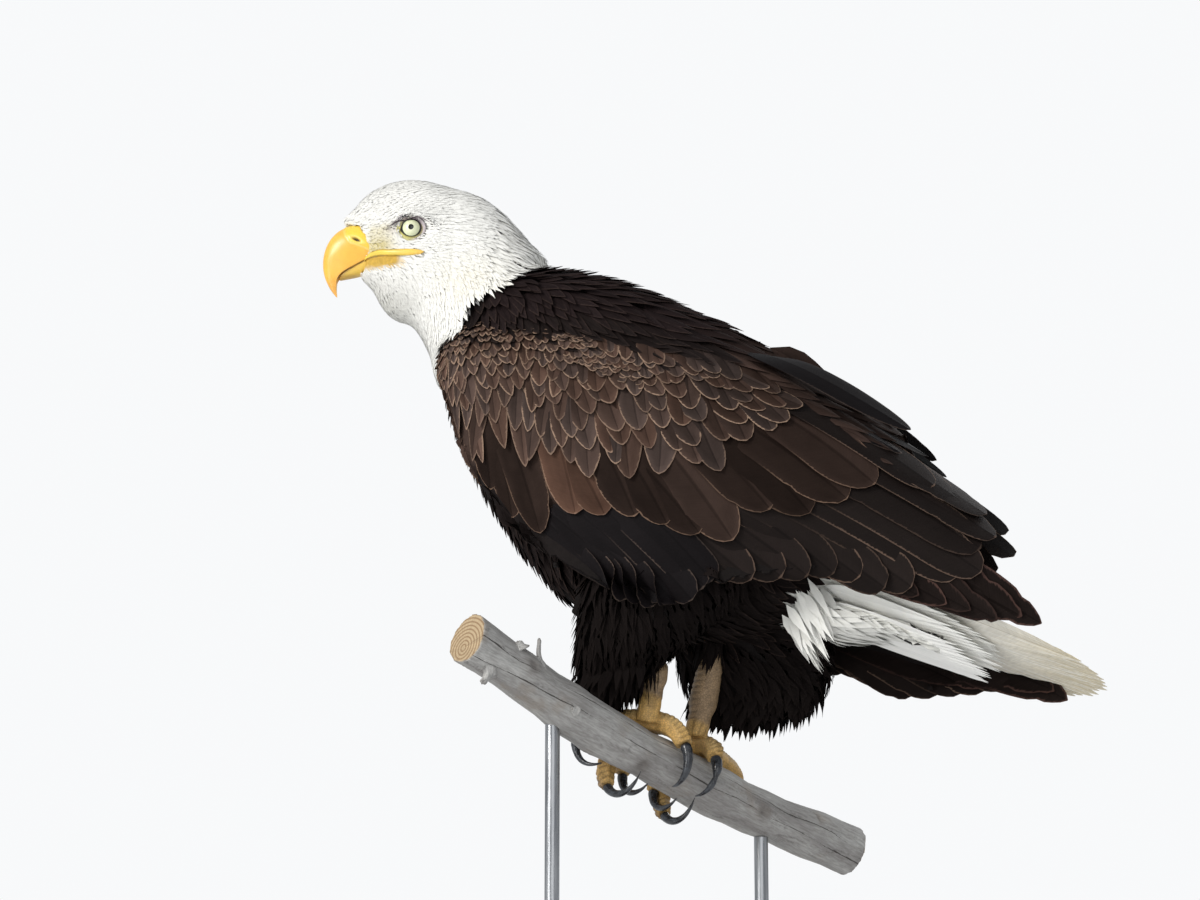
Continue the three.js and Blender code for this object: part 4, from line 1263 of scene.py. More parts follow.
# Painted shade: the underside of the lower half is painted darker towards its front.
tone = lerp(tone, srgb(196, 152, 70), 0.7 * step(786.5, 783.5, height) * step(-118, -126, ahead))
top_edge = np.interp(ahead, LOWER_RIBS[::-1, 0], LOWER_RIBS[::-1, 1])
# Painted shade along the top edge of the lower half, in the mouth line.
tone = lerp(tone, MOUTH_LINE_SHADE, 0.8 * step(1.8, 0.4, np.abs(height - top_edge)))
dress_bill(lower_half, tone, "bill_lower")

# %% Gape lips
LIP_LINE = np.array([  # ahead, height and half thickness of the lip, from the bill back to below the eye
    (-121, 796.4, 0.9), (-116, 799.2, 1.9), (-110, 800.2, 2.5), (-104.5, 800, 2.6), (-98.5, 799, 2.7),
    (-91, 798.2, 2.9), (-82, 797.7, 3.0), (-74, 797.4, 2.6), (-68.5, 797.1, 1.6), (-66, 797, 0.2)])
upper_surface = Surface(upper_half)


def side_of_face(ahead, height, side):
    """How far out the hull or the bill lies at a place on the face."""
    best = 0.0
    start = Vector(head_place(ahead, height, side * 80))
    for tree in (hull_surface.tree, upper_surface.tree):
        place = tree.ray_cast(start, Vector(ASIDE * -side))[0]
        if place is not None:
            best = max(best, abs(head_coordinates(np.array(place)[None])[2][0]))
    return best


def face_roll(name, line, side, proud, flat):
    """A soft roll on the face, tapered at both ends, along ahead, height and half thickness. It is used for the
    lips of skin and for the dark strips under the brows, which are mostly painted shadow.
    """
    roll = ball(name, 20, 64)
    x, y, z = points_of(roll).T
    t = np.arccos(np.clip(z, -1, 1)) / np.pi
    levels = np.unique(np.round(t, 6))
    keys = smooth(line, levels)
    base = np.array([side_of_face(a, h, side) for a, h, _ in keys])
    for _ in range(3):
        base[1:-1] = (base[:-2] + 2 * base[1:-1] + base[2:]) / 4
    ring_of = np.searchsorted(levels, np.round(t, 6))
    turn = np.arctan2(y, x)
    thick = keys[ring_of, 2] * np.clip(np.sin(np.pi * t) * 12, 0, 1) ** 0.5
    height = keys[ring_of, 1] + thick * np.sin(turn)
    aside = base[ring_of] + proud + thick * np.cos(turn) * flat
    move_points(roll, on_head(keys[ring_of, 0], height, side * aside))
    close_up(roll)
    return roll, t, turn


for word, side in (("left", -1), ("right", 1)):
    lip, t, turn = face_roll("gape_" + word, LIP_LINE, side, 0.2, 0.72)
    tone = lerp(LIP, srgb(250, 204, 96), step(0.55, 0.9, t))
    # Painted shade in the groove above the front of the lip.
    tone = lerp(tone, MOUTH_LINE_SHADE, 0.7 * step(0.35, 0.95, np.sin(turn)) * step(0.75, 0.45, t))
    dress_bill(lip, tone)
print("lips from", LIP_LINE[0, 0], "to", LIP_LINE[-1, 0])

# %% [markdown]
# ## Eyes and lids
# An eagle's eye is large and pale, with a small pupil and a clear bulging front, and it looks
# fierce because the bony brow shades it. The ball starts as a sphere of the solid's own size;
# its front is drawn out into the cornea, and iris and pupil are painted by the distance from
# the line of sight. The lids start as a ring. Its inner edge lies on the ball as a thin dark
# margin, and its outer edge is laid on the face, so that lids and socket close without a gap.

# %% Eye finish
def eye_finish():
    """Pale iris with fine rays, dark pupil and dark outer ring, under a clear coat."""
    material, w = finish("eye_clear", 0.08, Coat_Weight=0.6, Coat_Roughness=0.02)
    ring, spoke = w.attribute("ring"), w.attribute("spoke")
    rays = w.noise(w.vector(w.times(spoke, 9), w.times(ring, 2.2), 0.0), 4.0, 3)
    iris = w.blend(w.ramp(ring, 0.35, 0.9), rgba(240, 242, 206), rgba(220, 226, 186))
    iris = w.blend(w.ramp(rays, 0.4, 0.75, 0.0, 0.3), iris, rgba(196, 198, 150))
    pupil = w.ramp(ring, 0.25, 0.3, 1.0, 0.0)
    limbus = w.ramp(ring, 0.8, 0.87)
    colour = w.blend(w.maths("MAXIMUM", pupil, limbus), iris, rgba(10, 10, 10))
    w.show("Base Color", colour)
    return material


# %% Eyeballs
IRIS_RADIUS, CORNEA = 9.0, 0.9  # the iris and how far the clear front bulges, in millimetres
eye_clear = eye_finish()
for word, side in (("left", -1), ("right", 1)):
    gaze = ASIDE * side
    eyeball = ball("eyeball_" + word, 72, 48, EYE_RADIUS, eyes[word])
    eyeball.rotation_euler = Vector(gaze).to_track_quat("Z", "Y").to_euler()
    bpy.ops.object.transform_apply(location=True, rotation=True)
    co = points_of(eyeball)
    sight = (co - eyes[word]) @ gaze
    off_axis = (co - eyes[word]) - sight[:, None] * gaze
    radius = np.linalg.norm(off_axis, axis=1) / MM
    bulge = np.where(sight > 0, np.clip(1 - (radius / IRIS_RADIUS) ** 2, 0, 1) ** 1.5, 0)
    move_points(eyeball, co + gaze * (bulge * CORNEA * MM)[:, None])
    spoke = np.arctan2(off_axis @ UPWARD, off_axis @ AHEAD)
    keep_values(eyeball, ring=np.where(sight > 0, radius / IRIS_RADIUS, 2), spoke=np.abs(spoke))
    bpy.ops.object.shade_smooth()
    dress(eyeball, eye_clear, "eye", "eye_" + word)
print("iris mm across", 2 * IRIS_RADIUS)

# %% Lid finish and profile
lid_finish, w = finish("lid_skin", 0.5)
fine = w.noise(w.place(), 900, 3)
w.show("Base Color", w.shaded(w.attribute("plume", "Color"), w.ramp(fine, 0.3, 0.7, 0.88, 1.06)))
w.bump(fine, 0.35, 0.0004)
LID_PROFILE = np.array([  # past the opening's edge, out above the ball, share of the face's own height
    (-0.3, -0.3, 0), (0, 0.45, 0), (0.4, 0.7, 0), (0.9, 0.8, 0), (1.5, 1.1, 0.1), (2.2, 1.8, 0.25),
    (3.0, 2.6, 0.6), (3.9, 3, 1), (4.8, 0, 1), (4.4, -3, 0.5), (2.5, -3, 0), (0.6, -2.5, 0)])
# The strip under each brow is a dark piece: mostly the brow's painted shadow, partly its dark skin.
BROW_SHADOW_THICK = [0.1, 0.45, 0.7, 0.8, 0.8, 0.7, 0.5, 0.1]  # half thickness of the dark line under the brow
LID_SINK = {8: -1.6, 9: -4.0}  # how deep these rows of the profile lie under the face
FACE_GAP = 0.1  # the other rows that reach the face lie this much above it


def on_ball(off):
    """How far out the eyeball's surface is at a distance from the line of sight, in millimetres."""
    return np.sqrt(np.maximum((EYE_RADIUS / MM) ** 2 - np.minimum(off, 11.4) ** 2, 0))


def lid_ring(word, side):
    """The lids of one eye as a ring, with what colours it: turn round the eye and row of the profile."""
    bpy.ops.object.select_all(action="DESELECT")
    bpy.ops.mesh.primitive_torus_add(major_segments=96, minor_segments=len(LID_PROFILE), minor_radius=0.25)
    lids = bpy.context.object
    lids.name = lids.data.name = "lids_" + word
    co = points_of(lids)
    around = np.arctan2(co[:, 1], co[:, 0])
    ring_place = np.arctan2(co[:, 2], np.hypot(co[:, 0], co[:, 1]) - 1) / (2 * np.pi)
    index = np.round(ring_place * len(LID_PROFILE)).astype(int) % len(LID_PROFILE)
    past, out, to_face = LID_PROFILE[index].T
    c, up = np.cos(around), np.sin(around)
    over, below = np.clip(up, 0, 1), np.clip(-up, 0, 1)
    corner = np.exp(-(((np.degrees(around) + 10) / 15) ** 2))
    opening = 8.5 - 1.4 * over**2 - 0.9 * below**2 + 0.9 * corner
    off = opening + past * (1 - 0.35 * over * (index > 3))
    out = on_ball(off) + out
    for i in np.where(to_face > 0)[0]:
        start = Vector(eyes[word] + (c[i] * -AHEAD + up[i] * UPWARD) * off[i] * MM + ASIDE * side * 0.04)
        place = hull_surface.tree.ray_cast(start, Vector(ASIDE * -side))[0]
        face_out = abs(head_coordinates(np.array(place)[None])[2][0]) - EYE_OUT
        out[i] = out[i] + (face_out + LID_SINK.get(int(index[i]), FACE_GAP) - out[i]) * to_face[i]
    flat = (c[:, None] * -AHEAD + up[:, None] * UPWARD) * off[:, None]
    move_points(lids, eyes[word] + (flat + ASIDE * side * out[:, None]) * MM)
    close_up(lids)
    return lids, c, up, index


# %% Lids, and dark strips for the brow's shadow
for word, side in (("left", -1), ("right", 1)):
    lids, c, up, index = lid_ring(word, side)
    over, below = np.clip(up, 0, 1), np.clip(-up, 0, 1)
    outer = lerp(srgb(214, 208, 150), srgb(196, 186, 188), step(0.3, -0.5, c))
    # Painted shade of the brow: the upper side of the lids' outer rows is painted greyish mauve.
    outer = lerp(outer, srgb(138, 122, 130), 0.85 * step(0.35, 0.8, up))
    middle = lerp(srgb(208, 200, 116), srgb(178, 168, 128), step(0.2, -0.7, c) * (1 - 0.6 * below))
    # Painted shade of the brow: the upper side of the middle rows is painted nearly black.
    middle = lerp(middle, srgb(72, 58, 64), step(0.1, 0.6, up))
    tone = lerp(middle, outer, step(3.5, 5.5, index.astype(float)) * (index < 11))
    # Painted shade of the brow: the dark margin is painted wider on top.
    margin = np.where((index <= 2) | (index == 11), 1.0, (index == 3) * (0.3 + 0.7 * over))
    colour_points(lids, lerp(tone, srgb(17, 15, 15), margin))
    dress(lids, lid_finish, "foot_skin")
    # A dark strip along the brow's edge: mostly its painted shadow, partly dark skin.
    brow = np.column_stack([EYE_BACK / MM - BROW_EDGE[:, 0], EYE_UP + BROW_EDGE[:, 1] - 0.3, BROW_SHADOW_THICK])
    line, t, turn = face_roll("brow_line_" + word, brow, side, 0.35, 0.8)
    colour_points(line, lerp(srgb(70, 58, 62), srgb(150, 138, 144), step(0.6, 1, t)))
    dress(line, lid_finish, "foot_skin")
print("lid rows", len(LID_PROFILE))

# %% [markdown]
# ## Contour feathers by region
# The body's small feathers differ by region: scale-like and tiny on the face, silky and
# pointed on the neck, broad on the back, long and loose on the thighs. Roots are scattered a
# set distance apart over each region, and every feather is laid along the combing strokes.

# %% Which solid each face of the hull belongs to
OWNER = owners(FACE_CENTRE)
IN_HOOD = hood(FACE_CENTRE, OWNER)
FX, FY, FZ = (FACE_CENTRE / MM).T
F_AHEAD, F_HEIGHT, F_ASIDE = head_coordinates(FACE_CENTRE)
F_OUT, F_FORE, F_UP = eye_coordinates(FACE_CENTRE)
F_REACH = np.hypot(F_FORE, F_UP)
BARE_REACH = (10.5 + 1.5 * np.clip(-F_FORE / F_REACH, 0, 1) ** 2
              - 1.2 * np.clip(F_UP / F_REACH, 0, 1) ** 2)  # longer behind the eye, shorter above it
AROUND_EYE = (np.abs(F_OUT) < 17) & (F_REACH < BARE_REACH)
BILL_TREES = [Surface(bpy.data.objects[n]).tree
              for n in ("bill_upper_half", "bill_lower_half", "gape_left", "gape_right")]
NEAR_BILL = np.zeros(len(FACE_CENTRE), bool)
for i in np.where((F_AHEAD < -58) & (F_HEIGHT > 770))[0]:
    NEAR_BILL[i] = min(t.find_nearest(Vector(FACE_CENTRE[i]))[3] for t in BILL_TREES) < 1.5 * MM
BARE = NEAR_BILL | AROUND_EYE | (bare_chin(F_AHEAD, F_HEIGHT) > 0.5)
print({n: int((OWNER == n).sum()) for n in FLESH})

# %% Parts of the wing and of the body
ON_WING = np.isin(OWNER, ["wing_left", "wing_right"])
COVERT_LIMIT = np.interp(FX, COVERT_TOP[:, 0], COVERT_TOP[:, 1])
OUTWARD = FACE_NORMAL[:, 1] * np.sign(FY)
COVERTED = ON_WING & (OUTWARD > 0.1) & (FZ < COVERT_LIMIT - 4)
QUILLED = ON_WING & (FX > -86) & (FZ < np.interp(FX, [-86, -60, 120, 190], [520, 548, 548, 640]))
BODY = OWNER == "trunk"
THIGHS = np.isin(OWNER, ["thigh_left", "thigh_right"])
HIDDEN = under_wing(FACE_CENTRE, 26) & under_wing(FACE_CENTRE)
CHEST = ~IN_HOOD & BODY & ((FX < -60) | (FZ < 560)) & (FZ < COVERT_LIMIT) & ~HIDDEN
LINING = ON_WING & (OUTWARD < 0) & under_wing(FACE_CENTRE) & under_wing(FACE_CENTRE, -20)
SHOULDER = ON_WING & (FX < -128) & (OUTWARD < 0.45) & ~LINING
BACK = ~IN_HOOD & ~COVERTED & ~QUILLED & ~HIDDEN & ~LINING & ~SHOULDER & ~CHEST
BACK &= (BODY | ON_WING) & ((FX > -128) | BODY)
print("faces under coverts", int(COVERTED.sum()), "hidden", int(HIDDEN.sum()), "back", int(BACK.sum()))


# %% Coat maker
def coat(name, mask, spacing, length, width, material, slot, seed, segments=4, across=(-1, 0, 1),
         camber=0.25, tilt=0.12, point=1.0, start=0.35, lift=0.4, wander=0.1, thick=0.25, tone=(0.2, 0.8),
         soft=False, inside=False, sink=0.85):
    """Feathers over one region. spacing, length and width are millimetres, or functions of points."""
    def of(value, points):
        return (value(points) if callable(value) else np.full(len(points), float(value))) * MM

    roots = scatter(mask, lambda p: of(spacing, p), seed)
    local = np.random.default_rng(seed + 1)
    s = vane_grid(segments)
    long = of(length, roots) * local.uniform(0.88, 1.12, len(roots))
    where, normal_at = hull_surface.nearest(roots)
    depth = np.minimum(coat_depth(roots), 1.5 * MM if inside else 1)
    lift_tip = local.uniform(0.2, 1.0, len(roots)) * lift * MM
    spine, normal = lay(roots, long, s, -sink * depth, lift_tip, wander, seed)
    if inside:  # only feathers that stay on the side towards the body
        stays = (normal[..., 1] * np.sign(spine[..., 1]) < 0.1).all(1)
        roots, spine, normal, normal_at = roots[stays], spine[stays], normal[stays], normal_at[stays]
    outline = vane_outline(s, 0.3, start, point)
    half = 0.5 * of(width, roots)[:, None] * local.uniform(0.85, 1.15, (len(roots), 1)) * outline[None]
    made = build_vanes(name, spine, normal, half, np.array(across, float), plumage(roots, normal_at),
                       local.uniform(*tone, len(roots)), thick * MM, camber,
                       tilt * local.choice((-1, 1), len(roots)), soft=soft)
    dress(made, material, slot)


def head_size(small, large):
    """Grows from small at the bill to large at the back of the head."""
    return lambda p: small + (large - small) * step(-110, -30, head_coordinates(p)[0])


FIVE = (-1, -0.5, 0, 0.5, 1)  # places across a broad vane

# %% White coat
FACE = IN_HOOD & (F_AHEAD < -50) & ~BARE
CROWN = IN_HOOD & (F_AHEAD >= -50) & (F_AHEAD < -15)
coat("feathers_face", FACE, head_size(1.6, 2.3), head_size(6, 14), head_size(1.9, 4.4), white_coat,
     "white_plumage", 21, lift=0.1, tilt=0.02, camber=0.06, thick=0.12, tone=(0.35, 0.65), soft=True, sink=0.42)
coat("feathers_crown", CROWN, 2.4, 18, 5.2, white_coat, "white_plumage", 22, segments=5, lift=0.15,
     point=1.05, tilt=0.02, camber=0.06, thick=0.15, tone=(0.3, 0.7), soft=True, sink=0.45)
coat("feathers_neck", IN_HOOD & (F_AHEAD >= -15), 3.0, 27, 6.4, white_coat, "white_plumage", 23, segments=6,
     lift=0.35, point=0.95, start=0.22, tilt=0.03, camber=0.08, thick=0.18, tone=(0.25, 0.75), soft=True,
     sink=0.55)

# %% Dark coat of breast, thighs and wing lining
coat("feathers_breast", CHEST | ((OWNER == "neck") & ~IN_HOOD), 8, 30, 12, dark_coat, "dark_plumage", 24,
     segments=6, across=FIVE, point=1.3, start=0.32, lift=0.7)
coat("feathers_thigh", THIGHS & ~HIDDEN, 6.0, 36, 7.5, down_coat, "dark_plumage", 25, segments=6, lift=1.4,
     wander=0.18, soft=True)
coat("feathers_lining", LINING & (FX < 120) & under_wing(FACE_CENTRE, 24), 9, 14, 11, down_coat,
     "dark_plumage", 28, lift=0, inside=True)

# %% Brown coat of shoulders and back, and the white undertail
coat("feathers_shoulder", SHOULDER, 4.6, 13, 7.5, brown_coat, "brown_plumage", 29, segments=5, across=FIVE,
     point=1.9, start=0.45, lift=0.5)


def down_the_back(front, rear, x_rear=120):
    """Grows from front at the shoulders to rear at the rump."""
    return lambda p: front + (rear - front) * step(-80, x_rear, p[:, 0] / MM)


coat("feathers_back", BACK, down_the_back(7, 13), down_the_back(36, 78, 100), down_the_back(10, 21), dark_coat,
     "brown_plumage", 26, segments=8, across=(-1, -0.6, 0, 0.6, 1), point=1.25, start=0.4, lift=0.8, wander=0.08)
coat("feathers_undertail", OWNER == "undertail", 6.5, 44, 15, white_coat, "white_plumage", 27, segments=7,
     across=FIVE, point=1.1, lift=0.9, camber=0.15, tilt=0.05, soft=True)

# %% [markdown]
# ## Wing coverts
# The folded wing is tiled with coverts in rows: tiny ones on the shoulder, larger in each row
# below, and two long rows that cover the roots of the flight feathers. Rows are laid in side
# view: each tip sits on a row line, each feather runs along the wing's own way, and a level
# line from the side finds the wing's surface under it. Rows further down go under those above.

# %% Row lines and the way of the coverts
# The tips of the lowest of these rows, as x and z from the front to the rear.
LONG_ROW = [[-146, 630], [-128, 598], [-95, 592], [-56, 582], [-15, 574], [25, 571], [60, 571], [95, 580],
            [128, 593], [158, 612], [186, 606]]
# The angle at which the coverts run, in degrees, at these x.
WAY_X = [-175, -140, -60, 30, 90, 130, 170, 230]
WAY_ANGLE = [-77, -83, -90, -87, -70, -52, -42, -34]


def covert_way(x, up):
    """The run of the coverts in side view, at x and at a height above the long row."""
    angle = np.radians(np.interp(x, WAY_X, WAY_ANGLE) + np.clip(up, 0, 160) * 0.16)
    return np.stack([np.cos(angle), np.sin(angle)], -1)


# %% Laying feathers on the folded wing
def on_wing(form, side, x, z):
    """Points and normals of the wing under side-view places, held to its edge past the outline."""
    points, normals = np.zeros((len(x), 3)), np.zeros((len(x), 3))
    for i, (a, b) in enumerate(zip(x * MM, z * MM)):
        found = form.from_side(a, b, side)
        if found is None or found[1][1] * side < 0.05:
            place, _, face, _ = form.tree.find_nearest(Vector((a, side * 0.09, b)))
            found = place[1], form.normals[face]
        points[i], normals[i] = (a, found[0], b), found[1]
    return points, unit(normals)


def lay_on_wing(form, side, tip, way, length, stations, lift_root, lift_tip, bow, stiff=0):
    """Spines in side view from each tip back along way, in millimetres. Stiff ones bend in one sweep."""
    count = len(tip)
    back = (1 - stations)[None, :, None] * (length[:, None, None] * way[:, None])
    flat = tip[:, None] - back
    square = np.stack([-way[:, 1], way[:, 0]], -1)
    flat = flat + (bow * length)[:, None, None] * (4 * stations * (1 - stations))[None, :, None] * square[:, None]
    points, normals = on_wing(form, side, flat[..., 0].ravel(), flat[..., 1].ravel())
    points, normals = points.reshape(count, -1, 3), normals.reshape(count, -1, 3)
    if stiff:
        for i in range(count):
            points[i, :, 1] = np.polyval(np.polyfit(stations, points[i, :, 1], stiff), stations)
            for c in range(3):
                normals[i, :, c] = np.polyval(np.polyfit(stations, normals[i, :, c], stiff), stations)
        normals = unit(normals)
    else:
        for _ in range(3):
            normals[:, 1:-1] = unit(normals[:, :-2] + 2 * normals[:, 1:-1] + normals[:, 2:])
    height = lift_root[:, None] + (lift_tip - lift_root)[:, None] * stations[None]
    return points + normals * height[:, :, None] * MM, normals


def spaced(keys, width):
    """Places along a side-view line, width(x) apart."""
    line = smooth(keys, np.linspace(0, 1, 400))
    run = np.concatenate([[0], np.cumsum(np.linalg.norm(np.diff(line, axis=0), axis=1))])
    at, found = 0.0, []
    while at < run[-1]:
        p = np.array([np.interp(at, run, line[:, 0]), np.interp(at, run, line[:, 1])])
        found.append(p)
        at += width(p[0])
    return np.array(found)


# %% Rows of coverts
ROWS = [  # how far above the long row, front and rear, then feather width and length, front and rear
    (0, 0, 19, 30, 74, 78), (30, 20, 18, 27, 62, 60), (50, 40, 16, 25, 48, 54), (66, 60, 14, 24, 38, 50),
    (79, 78, 12, 22, 32, 46), (90, 95, 10, 20, 27, 42), (99, 111, 9, 18, 23, 38), (107, 126, 8, 16, 20, 34),
    (114, 140, 7.5, 15, 18, 30), (121, 152, 7, 14, 17, 27), (127, 163, 6.5, 13, 16, 25), (133, 173, 6, 12, 15, 23),
    (139, 182, 6, 11, 14, 22), (145, 190, 6, 11, 14, 20)]


def between(x, front, rear):
    """A size that changes from the front of the wing to its rear."""
    return front + (rear - front) * step(-150, 60, x)


def covert_rows(local):
    """Tips, widths and lengths of all the coverts of a wing, and how far each row lies above the long row."""
    tips, widths, lengths, above = [], [], [], []
    for front_up, rear_up, front_wide, rear_wide, front_long, rear_long in ROWS:
        line = smooth(LONG_ROW, np.linspace(0, 1, 60))
        up = between(line[:, 0], front_up, rear_up)
        line = line - covert_way(line[:, 0], up) * up[:, None]
        places = spaced(line, lambda x: 0.74 * between(x, front_wide, rear_wide) * local.uniform(0.85, 1.15))
        places = places[places[:, 1] < np.interp(places[:, 0], COVERT_TOP[:, 0], COVERT_TOP[:, 1]) - 2]
        jitter = local.normal(0, 1, places.shape) * between(places[:, 0], front_long, rear_long)[:, None] * 0.085
        tips.append(places + jitter)
        widths.append(between(places[:, 0], front_wide, rear_wide) * local.uniform(0.9, 1.15, len(places)))
        lengths.append(between(places[:, 0], front_long, rear_long) * local.uniform(0.92, 1.1, len(places)))
        above.append(np.full(len(places), front_up))
    return (np.concatenate(v) for v in (tips, widths, lengths, above))


def coverts(word, side, seed):
    """All the rows of coverts of one wing."""
    local = np.random.default_rng(seed)
    form = wing_form[word]
    tips, widths, lengths, above = covert_rows(local)
    way = covert_way(tips[:, 0], above)
    turn = np.radians(local.normal(0, 6.5, len(tips)))
    c, s = np.cos(turn), np.sin(turn)
    way = np.stack([way[:, 0] * c - way[:, 1] * s, way[:, 0] * s + way[:, 1] * c], -1)
    keep = np.ones(len(tips), bool)
    for i, (tip, run) in enumerate(zip(tips, way)):
        keep[i] = tip[0] > -100 or form.from_side(*(tip * MM), side) is not None
        for _ in range(8):  # near the top and the front a feather is only as long as the wing above it
            if form.from_side(*((tip - run * lengths[i]) * MM), side) is not None:
                break
            lengths[i] *= 0.85
        keep[i] &= lengths[i] > 9
    tips, way, widths, lengths = tips[keep], way[keep], widths[keep], lengths[keep]
    s = vane_grid(9)
    lift_tip = local.uniform(0.2, 1.5, len(tips))
    spine, normal = lay_on_wing(form, side, tips, way, lengths, s, np.full(len(tips), -5.0), lift_tip,
                                bow=local.normal(0, 0.02, len(tips)))
    pointed = np.interp(tips[:, 0], [-120, 40, 150], [1.45, 1.75, 2.1])
    half = 0.5 * widths[:, None] * MM * np.stack([vane_outline(s, 0.3, 0.42, p) for p in pointed])
    tone = np.clip(0.5 + local.normal(0, 0.22, len(tips)) - 0.25 * step(0, 160, tips[:, 0]), 0, 1)
    warm = local.random(len(tips))[:, None]
    colour = COVERT * (1 - 0.25 * step(-40, 150, tips[:, 0]))[:, None]
    colour = colour * (1 + 0.25 * (warm - 0.5) * np.array([1, 0.1, -0.6]))
    made = build_vanes("coverts_" + word, spine, normal, half, np.array([-1, -0.72, -0.4, 0, 0.4, 0.72, 1]),
                       colour, tone, 0.35 * MM, 0.16, side * 0.1)
    dress(made, brown_coat, "brown_plumage")


for word, side in (("left", -1), ("right", 1)):
    coverts(word, side, 40 + side)


# %% [markdown]
# ## Quills: greater coverts, secondaries, primaries and tertials
# Flight feathers are long, stiff and nearly flat, with a shaft that stands out as a ridge.
# In a folded wing they stack like a closed fan: each one nearer the body lies on the next, so
# only its lower edge shows. Each group is a row of tips with a run and a length, and its
# layer says how deep it lies under the coverts.

# %% Quill maker
def quills(name, side, form, tips, angles, lengths, widths, layers, colour, material, seed, point, start,
           slot="dark_plumage", segments=26, worn=0.0, tone=(0.3, 0.7), lift_root=-5.0, uneven=1.2):
    """One fan of quills. angles, lengths, widths and layers are the values at its two ends."""
    local = np.random.default_rng(seed)
    count = len(tips)
    f = np.linspace(0, 1, count)
    tips = np.asarray(tips, float) + local.normal(0, uneven, (count, 2))
    angle = np.radians(np.interp(f, [0, 1], angles) + local.normal(0, uneven, count))
    way = np.stack([np.cos(angle), np.sin(angle)], -1)
    long = np.interp(f, [0, 1], lengths) * local.uniform(0.97, 1.03, count)
    wide = np.interp(f, [0, 1], widths) * local.uniform(0.95, 1.06, count)
    layer = np.interp(f, [0, 1], layers)
    s = vane_grid(segments, 1.25)
    spine, normal = lay_on_wing(form, side, tips, way, long, s, layer + lift_root, layer,
                                np.full(count, 0.02), stiff=3)
    half = 0.5 * wide[:, None] * MM * vane_outline(s, 0.16, start, point)[None]
    across = np.array([-1, -0.78, -0.5, -0.22, -0.05, 0.05, 0.22, 0.5, 0.78, 1])
    shape = np.ones((count, len(s), len(across)))
    first_nick = int(len(s) * (0.45 if worn == 0 else 0.75))
    for i in range(count):  # small nicks where the barbs have parted, more at a worn tip
        for _ in range(local.integers(1, 4) + int(6 * worn)):
            nick = int(local.integers(first_nick, len(s) - 1))
            edge = slice(0, 3) if local.choice((0, 1)) == 0 else slice(-3, None)
            shape[i, nick, edge] *= 1 - local.uniform(0.04, 0.1 + 0.2 * worn)
    made = build_vanes(name, spine, normal, half, across, np.broadcast_to(colour, (count, 3)),
                       local.uniform(*tone, count), 0.5 * MM, 0.1, side * 0.07, ridge=0.5 * MM,
                       edge_shift=shape, patch=QUILL_PATCH)
    dress(made, material, slot)


# %% Finishes and colours of the quills
QUILL_PATCH = 0.009  # a long vane takes this share of the skin's unwrap
quill_coat = plumage_finish("quill_coat", rgba(122, 100, 86), 0.6, 0.0012, 0.35, 0.25, 0.35, gloss=0.3, bump=0.3)
black_coat = plumage_finish("black_coat", rgba(110, 94, 84), 0.45, 0.001, 0.3, 0.15, 0.35, gloss=0.3, bump=0.3)
primary_coat = plumage_finish("primary_coat", rgba(112, 84, 76), 0.4, 0.0018, 0.3, 0.1, 0.9, 0.6, bump=0.5)
greater_coat = plumage_finish("greater_coat", rgba(150, 122, 102), 0.55, 0.001, 0.35, 0.35, 0.3, 0.6,
                              pale_edge=0.35)
# The greater coverts are not one brown: worn pale ones lie between fresh dark ones.
GREATER_TONES = [0.3, 0.35, 0.5, 1.6, 1.25, 0.4, 0.3, 0.42, 0.55, 0.34, 0.28, 0.34, 0.42]
GREATER_COLOURS = COVERT * np.array(GREATER_TONES)[:, None]
GREATER_COLOURS[3:5] *= (1.15, 0.98, 0.85)
GREATER_ROW = [[-112, 572], [-86, 546], [-54, 533], [-23, 539], [5, 537], [34, 535], [60, 526], [92, 515],
               [125, 528], [160, 535], [192, 541], [214, 560]]
print("greater coverts", len(GREATER_TONES))


# %% Lay the quills of both wings
# The lines of quill tips, as x and z from the front to the rear. The right wing hangs lower.
PRIMARY_TIPS = {"left": [[248, 466], [284, 454], [315, 444], [346, 444]],
                "right": [[260, 408], [298, 402], [330, 396], [354, 389]]}
WRIST_TIPS = {"left": [[4, 474], [24, 466], [44, 464], [64, 468], [84, 482]],
              "right": [[10, 460], [32, 452], [55, 448], [78, 445]]}
SECONDARY_TIPS = {
    "left": [[100, 480], [131, 481], [165, 483], [200, 481], [236, 473], [268, 480], [297, 484]],
    "right": [[95, 441], [130, 433], [165, 424], [200, 412], [235, 403], [268, 403], [300, 404]]}
TERTIAL_TIPS = [[300, 505], [312, 515], [300, 535], [284, 547], [262, 560]]
INNER_TIPS = [[236, 588], [250, 592], [246, 604]]
MIDDLE_TIPS = [[96, 500], [140, 496], [180, 490], [220, 482], [262, 478], [292, 484]]


def row(keys, count):
    """So many places on a smooth line."""
    return smooth(keys, np.linspace(0, 1, count))


